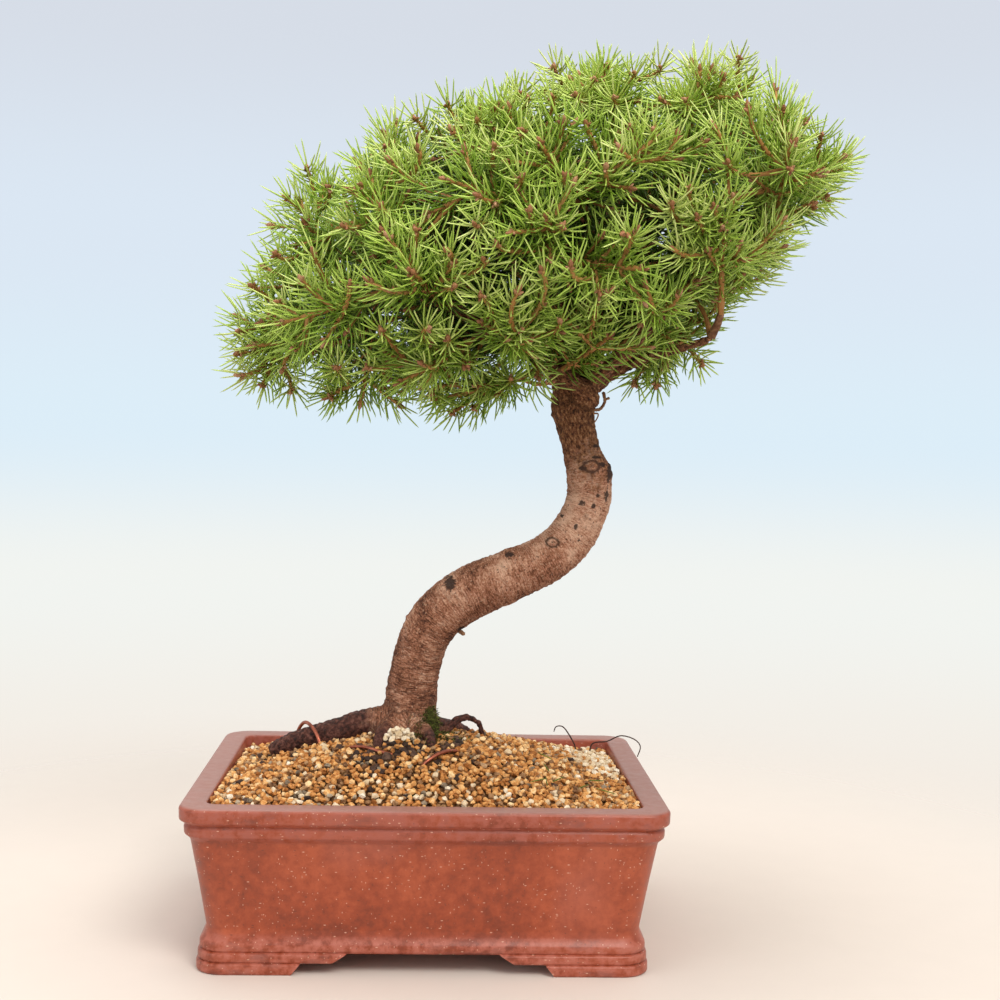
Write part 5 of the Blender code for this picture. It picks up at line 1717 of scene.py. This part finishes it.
def pile_grains(heap, rng, shapes, sizes):
    """A little heap of pale grains against the trunk's foot, each layer resting on the one below."""
    for layer in range(HEAP_LAYERS):
        reach = HEAP_REACH - HEAP_STEP * layer
        steps = math.ceil(reach / HEAP_PITCH)
        for row in range(-steps, steps + 1):
            for column in range(-steps, steps + 1):
                spot = HEAP_MIDDLE + Vector((column + 0.5 * (row % 2), ROW_PITCH * row)) * HEAP_PITCH
                spot += Vector((rng.gauss(0, HEAP_JITTER), rng.gauss(0, HEAP_JITTER)))
                size = rng.uniform(*sizes) / 2
                height = soil_height(*spot) + HEAP_LIFT + HEAP_RISE * layer + rng.uniform(*HEAP_UNEVEN)
                x, y, radius = trunk_reach(height)
                off_wood = math.hypot(spot.x - x, spot.y - y) - radius
                if (spot - HEAP_MIDDLE).length < reach and off_wood > HEAP_OFF_WOOD * size:
                    add_stone(heap, rng, shapes, (*spot, height), size, rng.random())


def make_grains(finishes):
    """Loose grains over the whole soil, one piece for each kind, seated in the bed and round the roots."""
    rng = random.Random(GRAIN_SEED)
    shapes = stone_shapes(rng)
    rods = wood_in_soil()
    heaps = [Heap() for _ in GRAIN_KINDS]
    half_x, half_y = RIM_HALF[0] - RIM_WALL - 1, RIM_HALF[1] - RIM_WALL - 1
    for layer, (pitch, lift, share) in enumerate(GRAIN_LAYERS):
        rows = math.ceil(2 * half_y / (pitch * ROW_PITCH))
        jitter = pitch * GRAIN_JITTER
        columns = math.ceil(2 * half_x / pitch)
        for row in range(rows + 1):
            for column in range(columns + 1):
                x = half_x * (2 * (column + 0.5 * (row % 2)) / columns - 1) + rng.gauss(0, jitter)
                y = half_y * (2 * row / rows - 1) + rng.gauss(0, jitter)
                kind = grain_kind(rng, x, y)
                size = rng.uniform(*GRAIN_KINDS[kind][2]) / 2
                tint = rng.random() * LAYER_SHADING[layer]
                height = soil_height(x, y) + lift + rng.uniform(-GRAIN_UNEVEN, GRAIN_UNEVEN)
                height -= GRAIN_SUNK * size
                x, y = inside_walls(x, y, height, size + GRAIN_MARGIN)
                spot = Vector((x, y, height))
                least = WOOD_ROOM[layer]
                if rng.random() > share or rods.room(spot, spot + Vector((0, 0, 0.5)), (size, size)) < least:
                    continue
                add_stone(heaps[kind], rng, shapes, spot, size, tint)
    pale = [kind for kind, *_ in GRAIN_KINDS].index("pale")
    pile_grains(heaps[pale], rng, shapes, GRAIN_KINDS[pale][2])
    for (name, *_), heap, finish in zip(GRAIN_KINDS, heaps, finishes):
        finish_piece(heap.made("grains_" + name, [finish], GRAIN_SHARP), "soil")


def trunk_reach(height):
    """The trunk's middle and radius at a height near its foot."""
    x, y, heights, radii = zip(*TRUNK[:FOOT_ROWS])
    return tuple(float(np.interp(height, heights, values)) for values in (x, y, radii))


def make_moss(finish):
    """Moss up the right of the trunk's foot and on the soil beside it: short leafy hairs."""
    rng = np.random.default_rng(MOSS_SEED)
    shares = rng.random(MOSS_BLADES) ** MOSS_DENSE_LOW
    roots = []
    aims = []
    for share in shares:
        spread = between(MOSS_SPREAD, share)
        stray = rng.normal(0, 1, 3) * (spread, spread, spread * MOSS_FLAT)
        spot = MOSS_LOW.lerp(MOSS_HIGH, share) + Vector(stray)
        x, y, radius = trunk_reach(spot.z)
        out = Vector((spot.x - x, spot.y - y, 0))
        beside = spot.z < soil_height(*spot.xy) + MOSS_BESIDE
        out = out.normalized() * max(radius - MOSS_SUNK, out.length if beside else 0.0)
        height = max(spot.z, soil_height(x + out.x, y + out.y) + MOSS_OVER_SOIL)
        roots.append((x + out.x, y + out.y, height))
        aims.append((out.normalized() + Vector((0, 0, MOSS_RISE))).normalized())
    aims = unit(np.array(aims) + rng.normal(0, MOSS_SWING, (MOSS_BLADES, 3)))
    bends = np.tile((0.0, 0.0, MOSS_BEND), (MOSS_BLADES, 1))
    heap = Heap()
    tints = rng.uniform(0, 1, MOSS_BLADES) ** MOSS_DARK
    lengths = rng.uniform(*MOSS_LENGTHS, MOSS_BLADES)
    add_needles(heap, np.array(roots), aims, bends, lengths, MOSS_RADIUS, tints, PLAIN_NEEDLE_RINGS)
    return finish_piece(heap.made("moss", [finish]), "foliage")


def make_fallen_needles(finish):
    """A few shed needles lying on the grains."""
    rng = np.random.default_rng(FALLEN_SEED)
    count = FALLEN_NEEDLES
    x = rng.uniform(*FALLEN_ACROSS, count)
    y = rng.uniform(*FALLEN_DEEP, count)
    turns = rng.uniform(0, 6.3, count)
    roots = np.array([(a, b, soil_height(a, b) + FALLEN_HEIGHT) for a, b in zip(x, y)])
    ends = roots + FALLEN_OVER * np.stack((np.cos(turns), np.sin(turns), np.zeros(count)), axis=1)
    for end in ends:
        end[:2] = inside_walls(*end[:2], end[2], FALLEN_MARGIN)
        end[2] = soil_height(*end[:2]) + FALLEN_HEIGHT
    heap = Heap()
    aims = unit(ends - roots)
    bends = np.tile(FALLEN_BEND, (count, 1))
    lengths = np.full(count, FALLEN_LENGTH)
    tints = rng.uniform(*FALLEN_TINTS, count)
    add_needles(heap, roots, aims, bends, lengths, FALLEN_RADIUS, tints, NEEDLE_RINGS)
    return finish_piece(heap.made("fallen_needles", [finish]), "foliage")


# Finishes

class Finish:
    """A procedural material, with short calls that add its nodes."""

    def __init__(self, name, roughness, specular=0.5, metallic=0.0):
        self.made = bpy.data.materials.new(name)
        self.made.use_nodes = True
        self.tree = self.made.node_tree
        self.shader = self.tree.nodes["Principled BSDF"]
        settings = {"Roughness": roughness, "Specular IOR Level": specular, "Metallic": metallic}
        for socket, value in settings.items():
            self.shader.inputs[socket].default_value = value
        self.place = self.node("ShaderNodeTexCoord").outputs["Object"]

    def node(self, kind, inputs=(), **settings):
        made = self.tree.nodes.new(kind)
        for key, value in settings.items():
            setattr(made, key, value)
        for key, value in dict(inputs).items():
            self.put(value, made.inputs[key])
        return made

    def put(self, value, socket):
        if isinstance(value, bpy.types.NodeSocket):
            self.tree.links.new(value, socket)
        elif isinstance(value, tuple) and len(value) == 3 and socket.type == "RGBA":
            socket.default_value = (*value, 1.0)
        else:
            socket.default_value = value

    def value(self, name, output="Fac"):
        """What is stored at each point of the mesh under a name."""
        return self.node("ShaderNodeAttribute", attribute_name=name).outputs[output]

    def scaled(self, place, scale):
        return self.node("ShaderNodeMapping", {"Vector": place, "Scale": scale}).outputs["Vector"]

    def noise(self, scale, detail=3.0, roughness=0.55, place=None):
        inputs = {"Vector": place or self.place, "Scale": scale, "Detail": detail, "Roughness": roughness}
        return self.node("ShaderNodeTexNoise", inputs).outputs["Fac"]

    def cells(self, scale, output="Distance", feature="F1", place=None):
        inputs = {"Vector": place or self.place, "Scale": scale}
        return self.node("ShaderNodeTexVoronoi", inputs, feature=feature).outputs[output]

    def math(self, operation, first, second=0.0):
        return self.node("ShaderNodeMath", {0: first, 1: second}, operation=operation).outputs[0]

    def plus(self, first, second):
        return self.math("ADD", first, second)

    def times(self, first, second):
        return self.math("MULTIPLY", first, second)

    def off(self, first, second):
        """How far two values are apart."""
        return self.math("ABSOLUTE", self.math("SUBTRACT", first, second))

    def height(self):
        """The height above the table, in metres."""
        return self.node("ShaderNodeSeparateXYZ", {"Vector": self.place}).outputs["Z"]

    def kind(self, scale, place):
        """An even random value for each cell of a pattern."""
        colour = self.cells(scale, "Color", place=place)
        return self.node("ShaderNodeSeparateColor", {"Color": colour}).outputs["Red"]

    def span(self, value, low, high, out_low=0.0, out_high=1.0):
        """The value's place between two limits, as a number between two others."""
        inputs = {"Value": value, "From Min": low, "From Max": high, "To Min": out_low, "To Max": out_high}
        return self.node("ShaderNodeMapRange", inputs).outputs["Result"]

    def ramp(self, value, *stops):
        ramp = self.node("ShaderNodeValToRGB", {"Fac": value})
        elements = ramp.color_ramp.elements
        while len(elements) < len(stops):
            elements.new(0.5)
        for element, (position, colour) in zip(elements, stops):
            element.position = position
            element.color = (*colour, 1.0)
        return ramp.outputs["Color"]

    def mix(self, share, first, second, blend="MIX"):
        mixed = self.node("ShaderNodeMix", data_type="RGBA", blend_type=blend)
        self.put(share, mixed.inputs["Factor"])
        self.put(first, mixed.inputs[6])
        self.put(second, mixed.inputs[7])
        return mixed.outputs[2]

    def bump(self, height, millimetres, below=None):
        inputs = {"Height": height, "Distance": millimetres * MM, "Strength": 1.0}
        if below:
            inputs["Normal"] = below
        return self.node("ShaderNodeBump", inputs).outputs["Normal"]

    def finished(self, colour, roughness=None, normal=None):
        self.put(colour, self.shader.inputs["Base Color"])
        if roughness is not None:
            self.put(roughness, self.shader.inputs["Roughness"])
        if normal is not None:
            self.put(normal, self.shader.inputs["Normal"])
        return self.made


def needle_finish():
    finish = Finish("needle_green", 0.42, 0.35)
    wave = finish.noise(60.0, 2.0)
    tint = finish.plus(finish.value("tint"), finish.span(wave, 0.3, 0.7, -0.07, 0.07))
    colour = finish.ramp(tint, (0.0, (0.042, 0.098, 0.004)), (0.3, (0.195, 0.345, 0.023)),
                         (0.6, (0.450, 0.615, 0.096)), (1.0, (0.72, 0.79, 0.29)))
    fleck = finish.noise(240.0, 2.0)
    colour = finish.mix(finish.span(fleck, 0.45, 0.8, 0.0, 0.22), colour, (0.62, 0.66, 0.26))
    return finish.finished(colour, finish.span(fleck, 0.2, 0.8, 0.36, 0.52))


def bud_finish():
    finish = Finish("bud_brown", 0.55, 0.4)
    scale = finish.cells(1500.0)
    colour = finish.ramp(finish.value("tint"), (0.0, (0.26, 0.092, 0.038)), (0.6, (0.47, 0.205, 0.096)),
                         (1.0, (0.66, 0.38, 0.22)))
    colour = finish.mix(finish.span(scale, 0.2, 0.7, 0.0, 0.4), colour, (0.20, 0.070, 0.032))
    return finish.finished(colour, None, finish.bump(scale, 0.15))


def bark_finish():
    """Thin pinkish flakes over red-brown bark, dark and streaked high on the trunk, dark on the roots."""
    finish = Finish("spruce_bark", 0.82, 0.3)
    bark = finish.value("bark", "Vector")
    rings = finish.noise(1.0, 5.0, 0.65, finish.scaled(bark, (0.28, 0.28, 1.5)))
    flakes = finish.noise(1.3, 6.0, 0.72, finish.scaled(bark, (0.75, 0.75, 1.2)))
    plates = finish.noise(0.75, 6.0, 0.72, finish.scaled(bark, (1.0, 1.0, 0.55)))
    edge = finish.noise(0.22, 4.0, place=bark)
    folds = finish.noise(1.0, 2.0, 0.5, finish.scaled(bark, (0.07, 0.07, 0.45)))
    fold = finish.span(finish.off(folds, 0.5), 0.0, 0.045, 1.0, 0.0)
    dark = finish.ramp(plates, (0.38, (0.032, 0.011, 0.005)), (0.46, (0.140, 0.050, 0.019)),
                       (0.54, (0.285, 0.116, 0.046)), (0.65, (0.56, 0.30, 0.150)))
    share = finish.plus(finish.value("rough"), finish.span(edge, 0.3, 0.7, -0.35, 0.35))
    smooth = smooth_bark(finish, bark, rings, flakes, fold)
    colour = finish.mix(finish.span(share, 0.2, 0.85), smooth, dark)
    root = finish.plus(finish.value("root"), finish.span(edge, 0.3, 0.7, -0.25, 0.25))
    root = finish.span(root, 0.2, 0.8)
    # The roots' own dark reddish bark, with lighter spots on it that are painted glossy highlights
    knobs = finish.noise(0.5, 5.0, 0.65, place=bark)
    root_bark_and_highlights = finish.ramp(knobs, (0.36, (0.024, 0.009, 0.006)), (0.5, (0.096, 0.030, 0.020)),
                      (0.66, (0.25, 0.100, 0.070)))
    colour = bark_marks(finish, bark, rings, finish.mix(root, colour, root_bark_and_highlights))
    creased = finish.math("SUBTRACT", finish.plus(rings, flakes), finish.times(fold, 0.25))
    relief = finish.bump(plates, 0.9, finish.bump(creased, 1.0))
    dry = finish.span(flakes, 0.2, 0.8, 0.7, 0.92)
    return finish.finished(colour, finish.math("SUBTRACT", dry, finish.times(root, 0.3)), relief)


def smooth_bark(finish, bark, rings, flakes, fold):
    """The colour of the low trunk's bark: its tone, painted light on the bend, dark folds that are partly
    painted shade, and pale and dark flakes.
    """
    height = finish.height()
    # The trunk's bend, from 170 to 235 mm up, is lighter: painted light on its top
    bend = finish.times(finish.span(height, 0.170, 0.200), finish.span(height, 0.235, 0.212))
    tone = finish.plus(finish.times(finish.noise(0.075, 3.0, place=bark), 0.32), finish.times(rings, 0.32))
    tone = finish.plus(finish.plus(tone, finish.times(flakes, 0.36)), finish.times(bend, 0.062))
    colour = finish.ramp(tone, (0.42, (0.072, 0.024, 0.013)), (0.47, (0.26, 0.096, 0.048)),
                         (0.52, (0.475, 0.205, 0.115)), (0.60, (0.76, 0.47, 0.325)))
    # Dark colour in the folds, stronger low on the trunk: painted shade in the creases, partly the folds' own
    # dark bark
    low_fold_shade = finish.span(height, 0.185, 0.125, 0.15, 0.75)
    colour = finish.mix(finish.times(fold, low_fold_shade), colour, (0.070, 0.024, 0.014))
    cell = finish.scaled(bark, (1.0, 1.0, 0.75))
    near = finish.span(finish.cells(0.95, place=cell), 0.46, 0.26)
    kind = finish.kind(0.95, cell)
    pale = finish.times(near, finish.span(kind, 0.80, 0.86, 0.0, 0.55))
    colour = finish.mix(pale, colour, (0.72, 0.46, 0.30))
    specks = finish.times(near, finish.span(kind, 0.17, 0.10, 0.0, 0.7))
    return finish.mix(specks, colour, (0.075, 0.027, 0.015))


def bark_marks(finish, bark, rings, colour):
    """The bark's colour with the ragged dark marks and the rings of the knots on it."""
    ragged = finish.span(finish.noise(0.55, 5.0, 0.7, place=bark), 0.25, 0.75, -0.55, 0.35)
    stain = finish.span(finish.plus(finish.value("stain"), ragged), 0.46, 0.62, 0.0, 0.9)
    colour = finish.mix(stain, colour, (0.030, 0.016, 0.013))
    knot = finish.plus(finish.value("knot"), finish.span(rings, 0.3, 0.7, -0.2, 0.2))
    ring = finish.span(finish.off(knot, 1.1), 0.1, 0.42, 0.9, 0.0)
    core = finish.span(knot, 0.4, 0.2, 0.0, 0.8)
    return finish.mix(finish.plus(ring, core), colour, (0.060, 0.025, 0.015))


def stoneware_finish():
    """Red-brown stoneware with pale and dark specks, greyer and more purple on its rim and feet, with painted
    sheen in soft paler patches and a painted reflection on the rim's top.
    """
    finish = Finish("stoneware_glaze", 0.42, 0.4)
    finish.shader.inputs["Coat Weight"].default_value = 0.22
    finish.shader.inputs["Coat Roughness"].default_value = 0.34
    mottle = finish.noise(210.0, 5.0, 0.65)
    both = finish.plus(finish.times(finish.noise(15.0, 3.0), 0.5), finish.times(mottle, 0.5))
    body = finish.ramp(both, (0.38, (0.210, 0.036, 0.013)), (0.5, (0.315, 0.055, 0.018)),
                       (0.62, (0.42, 0.085, 0.031)))
    # Soft paler patches across the body: painted sheen of the glaze
    sheen_patches = finish.noise(17.0, 2.0, place=finish.scaled(finish.place, (1.0, 1.0, 0.7)))
    body = finish.mix(finish.span(sheen_patches, 0.54, 0.68, 0.0, 0.3), body, (0.40, 0.125, 0.088))
    height = finish.height()
    foot = finish.span(height, 0.0185, 0.0145)
    ends = finish.plus(finish.span(height, 0.0605, 0.0625), foot)
    edge = finish.times(ends, finish.span(mottle, 0.40, 0.60, 0.0, 1.0))
    body = finish.mix(edge, body, finish.mix(foot, (0.345, 0.088, 0.056), (0.42, 0.120, 0.078)))
    worn = finish.noise(75.0, 5.0, 0.7, finish.scaled(finish.place, (0.6, 0.6, 1.6)))
    dull = finish.times(ends, finish.span(worn, 0.46, 0.36, 0.0, 0.5))
    body = speckled(finish, finish.mix(dull, body, (0.17, 0.048, 0.034)))
    # The rim's top is paler and mauve-grey: a painted reflection of the bright surroundings
    body = finish.mix(finish.span(height, 0.0762, 0.0769, 0.0, 0.8), body, (0.37, 0.195, 0.165))
    rough = finish.span(mottle, 0.3, 0.7, 0.34, 0.58)
    low = finish.bump(finish.noise(40.0, 3.0), 0.5)
    return finish.finished(body, rough, finish.bump(mottle, 0.16, low))


def speckled(finish, body):
    """The body's colour with three sizes of pale and dark specks in it."""
    for number, stretch in enumerate(((1.0, 1.0, 2.4), (2.4, 1.6, 1.0), (1.3, 1.3, 1.3))):
        spread = finish.scaled(finish.place, stretch)
        scale = 210.0 + 70.0 * number
        near = finish.cells(scale, place=spread)
        kind = finish.kind(scale, spread)
        pale = finish.times(finish.span(near, 0.15, 0.07), finish.span(kind, 0.62, 0.64))
        body = finish.mix(finish.times(pale, 0.7), body, (0.72, 0.44, 0.32))
        dark = finish.times(finish.span(near, 0.18, 0.08), finish.span(kind, 0.14, 0.12))
        body = finish.mix(finish.times(dark, 0.55), body, (0.09, 0.03, 0.02))
    return body


# Finishes that follow one noise: gloss, the noise, its share and the stored tint's share of the tone, the
# tone's colours, the relief in millimetres, and the range of roughness where that follows the noise too
PLAIN_FINISHES = {
    "young_twig": ((0.7, 0.3), (420.0, 4.0), 0.5, 0.6, (
        (0.15, (0.14, 0.055, 0.016)), (0.5, (0.40, 0.185, 0.052)), (0.9, (0.64, 0.37, 0.135))), 0.25),
    "branch_bark": ((0.85, 0.25), (330.0, 5.0, 0.65), 1.0, 0.12, (
        (0.35, (0.05, 0.021, 0.011)), (0.52, (0.16, 0.070, 0.034)), (0.75, (0.34, 0.18, 0.095))), 0.5),
    "dry_root": ((0.8, 0.3), (500.0, 4.0), 1.0, 0.0, (
        (0.35, (0.025, 0.012, 0.010)), (0.7, (0.085, 0.040, 0.030))), 0.2),
    "copper_coated_wire": ((0.38, 0.5, 0.75), (160.0, 4.0), 1.0, 0.0, (
        (0.35, (0.20, 0.055, 0.03)), (0.55, (0.44, 0.13, 0.075)), (0.75, (0.56, 0.22, 0.14))),
        0.1, (0.3, 0.5)),
    "black_plastic": ((0.5, 0.4), (240.0, 4.0), 1.0, 0.0, (
        (0.4, (0.012, 0.012, 0.013)), (0.75, (0.075, 0.055, 0.04))), 0.1, (0.42, 0.7)),
}


def plain_finish(name):
    gloss, texture, share, tint_share, stops, relief, *roughness = PLAIN_FINISHES[name]
    finish = Finish(name, *gloss)
    grain = finish.noise(*texture)
    tone = finish.times(grain, share)
    if tint_share:
        tone = finish.plus(tone, finish.times(finish.value("tint"), tint_share))
    rough = finish.span(grain, 0.3, 0.7, *roughness[0]) if roughness else None
    return finish.finished(finish.ramp(tone, *stops), rough, finish.bump(grain, relief))


def soil_and_gap_shade_finish():
    finish = Finish("fine_soil_and_gap_shade", 0.95, 0.2)
    # Dark brown: the fine soil's own colour, and painted shade in the gaps between the grains
    patch = finish.noise(260.0, 4.0)
    colour = finish.ramp(patch, (0.35, (0.045, 0.018, 0.006)), (0.55, (0.15, 0.065, 0.020)),
                         (0.75, (0.32, 0.16, 0.055)))
    return finish.finished(colour, None, finish.bump(finish.cells(700.0), 0.8))


def grain_finish(name, stops):
    finish = Finish("grain_" + name, 0.72, 0.35)
    pores = finish.noise(1100.0, 4.0, 0.7)
    veins = finish.noise(420.0, 3.0, 0.6)
    tone = finish.plus(finish.value("tint"), finish.span(pores, 0.3, 0.7, -0.1, 0.1))
    tone = finish.plus(tone, finish.span(veins, 0.35, 0.65, -0.26, 0.26))
    return finish.finished(finish.ramp(tone, *stops), None, finish.bump(pores, 0.3))


GRAIN_COLOURS = {
    "ochre": ((0.0, (0.34, 0.118, 0.023)), (0.3, (0.61, 0.262, 0.070)), (0.65, (0.80, 0.435, 0.155)),
              (1.0, (0.92, 0.66, 0.35))),
    "brown": ((0.0, (0.13, 0.052, 0.018)), (0.5, (0.38, 0.20, 0.085)), (1.0, (0.60, 0.40, 0.22))),
    "grey": ((0.0, (0.12, 0.086, 0.056)), (0.5, (0.28, 0.215, 0.145)), (1.0, (0.48, 0.38, 0.26))),
    "pale": ((0.0, (0.66, 0.48, 0.28)), (0.5, (0.84, 0.68, 0.47)), (1.0, (0.95, 0.86, 0.70))),
    "dark": ((0.0, (0.022, 0.010, 0.006)), (0.5, (0.060, 0.028, 0.017)), (1.0, (0.150, 0.080, 0.050))),
}


def moss_finish():
    finish = Finish("moss_green", 0.8, 0.2)
    colour = finish.ramp(finish.value("tint"), (0.0, (0.022, 0.022, 0.007)), (0.5, (0.078, 0.082, 0.018)),
                         (1.0, (0.25, 0.29, 0.060)))
    patch = finish.noise(700.0, 3.0)
    return finish.finished(finish.mix(finish.span(patch, 0.5, 0.8, 0.0, 0.4), colour, (0.12, 0.08, 0.03)))


def fallen_finish():
    finish = Finish("shed_needle", 0.6, 0.3)
    patch = finish.span(finish.noise(500.0, 3.0), 0.3, 0.7, -0.15, 0.15)
    tone = finish.plus(finish.value("tint"), patch)
    return finish.finished(finish.ramp(tone, (0.0, (0.07, 0.12, 0.015)), (0.5, (0.17, 0.19, 0.03)),
                                       (1.0, (0.30, 0.19, 0.06))))


# Floor, backdrop, lights and camera

FLOOR_RADIUS = 3.0
FLOOR_SIDES = 96
FLOOR_FADE = (0.17, 0.60)
FLOOR_COLOUR = (0.72, 0.640, 0.575)
# Backdrop: the sine of the angle above the horizon, and the colour there
BACKDROP = (
    (-0.36, (0.96, 0.86, 0.76)), (-0.22, (0.905, 0.85, 0.78)), (-0.10, (0.885, 0.905, 0.875)),
    (0.0, (0.72, 0.85, 0.94)), (0.12, (0.71, 0.80, 0.90)), (0.26, (0.676, 0.723, 0.801)),
)
STUDIO_WHITE = (1.0, 0.985, 0.96)
STUDIO_STRENGTH = 0.70
# Soft lights: place in metres about the pot, height of the aim, size, power, colour
LIGHTS = {
    "key": ((0.55, -1.05, 1.3), 0.25, 0.8, 16.0, (1.0, 0.97, 0.92)),
    "fill": ((-1.2, -0.8, 0.7), 0.2, 1.2, 5.0, (0.96, 0.98, 1.0)),
    "top": ((0.0, 0.1, 1.5), 0.1, 1.0, 11.0, (1.0, 0.99, 0.97)),
}


def make_floor():
    turns = [2 * math.pi * side / FLOOR_SIDES for side in range(FLOOR_SIDES)]
    circle = [(FLOOR_RADIUS * math.cos(turn), FLOOR_RADIUS * math.sin(turn), 0.0) for turn in turns]
    finish = Finish("pale_floor", 0.7, 0.2)
    grain = finish.span(finish.noise(45.0, 4.0), 0.3, 0.7)
    finish.finished(finish.mix(grain, FLOOR_COLOUR, tuple(c * 0.985 for c in FLOOR_COLOUR)))
    away = finish.node("ShaderNodeVectorMath", {0: finish.place}, operation="LENGTH").outputs["Value"]
    reach = {"Value": away, "From Min": FLOOR_FADE[0], "From Max": FLOOR_FADE[1]}
    fade = finish.node("ShaderNodeMapRange", reach, interpolation_type="SMOOTHSTEP").outputs["Result"]
    clear = finish.node("ShaderNodeBsdfTransparent").outputs[0]
    both = finish.node("ShaderNodeMixShader", {0: fade, 1: finish.shader.outputs[0], 2: clear}).outputs[0]
    finish.put(both, finish.tree.nodes["Material Output"].inputs["Surface"])
    made = new_object("floor", circle, [tuple(range(FLOOR_SIDES))], finish.made)
    made.location = POT_MIDDLE


def make_backdrop():
    """A pale sky of studio paper behind the part, and even white light from all round it."""
    world = bpy.data.worlds.new("studio")
    bpy.context.scene.world = world
    world.use_nodes = True
    nodes, links = world.node_tree.nodes, world.node_tree.links
    ways, split, spread, ramp, around, kind, both = (nodes.new("ShaderNode" + name) for name in (
        "TexCoord", "SeparateXYZ", "MapRange", "ValToRGB", "Background", "LightPath", "MixShader"))
    low, high = BACKDROP[0][0], BACKDROP[-1][0]
    spread.inputs["From Min"].default_value = low
    spread.inputs["From Max"].default_value = high
    ramp.color_ramp.interpolation = "EASE"
    while len(ramp.color_ramp.elements) < len(BACKDROP):
        ramp.color_ramp.elements.new(0.5)
    for element, (height, colour) in zip(ramp.color_ramp.elements, BACKDROP):
        element.position = (height - low) / (high - low)
        element.color = (*colour, 1.0)
    around.inputs["Color"].default_value = (*STUDIO_WHITE, 1.0)
    around.inputs["Strength"].default_value = STUDIO_STRENGTH
    seen = nodes["Background"]
    for source, target in (
            (ways.outputs["Generated"], split.inputs[0]), (split.outputs["Z"], spread.inputs["Value"]),
            (spread.outputs["Result"], ramp.inputs["Fac"]), (ramp.outputs["Color"], seen.inputs["Color"]),
            (kind.outputs["Is Camera Ray"], both.inputs[0]), (around.outputs[0], both.inputs[1]),
            (seen.outputs[0], both.inputs[2]), (both.outputs[0], nodes["World Output"].inputs["Surface"])):
        links.new(source, target)


def make_lights():
    for name, (place, aim_height, size, power, colour) in LIGHTS.items():
        light = bpy.data.lights.new(name, "AREA")
        light.shape = "DISK"
        light.size = size
        light.energy = power
        light.color = colour
        made = linked(name, light)
        made.location = Vector(place) + POT_MIDDLE
        aim = Vector((0, 0, aim_height)) + POT_MIDDLE - made.location
        made.rotation_mode = "QUATERNION"
        made.rotation_quaternion = aim.to_track_quat("-Z", "Y")


def make_camera():
    """The photograph's viewing angle: turned by yaw, tilted down by pitch, and rolled."""
    lens = bpy.data.cameras.new("camera")
    lens.sensor_width = SENSOR_WIDTH
    lens.lens = FOCAL_PIXELS * SENSOR_WIDTH / PHOTO_WIDTH
    lens.clip_start = 0.05
    yaw, pitch, roll = (math.radians(angle) for angle in (YAW, PITCH, ROLL))
    turn = Matrix.Rotation(-yaw, 4, "Z") @ Matrix.Rotation(math.pi / 2 - pitch, 4, "X")
    turn = turn @ Matrix.Rotation(roll, 4, "Z")
    made = linked("camera", lens)
    made.matrix_world = Matrix.Translation(EYE * MM + POT_MIDDLE) @ turn
    bpy.context.scene.camera = made


def main():
    bpy.context.scene.view_settings.view_transform = "Standard"
    branches, stems, clearance = make_crown()
    make_pot(stoneware_finish())
    make_soil_bed(soil_and_gap_shade_finish())
    make_grains([grain_finish(name, GRAIN_COLOURS[name]) for name, *_ in GRAIN_KINDS])
    make_moss(moss_finish())
    make_fallen_needles(fallen_finish())
    make_wood(bark_finish())
    make_branches(branches, plain_finish("branch_bark"))
    make_rootlets(plain_finish("dry_root"))
    make_wires(plain_finish("copper_coated_wire"))
    leaves = [needle_finish(), plain_finish("young_twig"), bud_finish()]
    rng = np.random.default_rng(FINE_SEED)
    for number, stem in enumerate(stems, 1):
        make_spray(number, stem, rng, clearance, leaves)
    make_fill_shoots(branches, stems, np.random.default_rng(FILL_SEED), clearance, leaves)
    make_inner_shoots(branches, rng, clearance, leaves)
    plastic = plain_finish("black_plastic")
    for side in ("left", "right"):
        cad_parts["drain_mesh_" + side].material_slots[0].material = plastic
    make_floor()
    make_backdrop()
    make_lights()
    make_camera()


main()
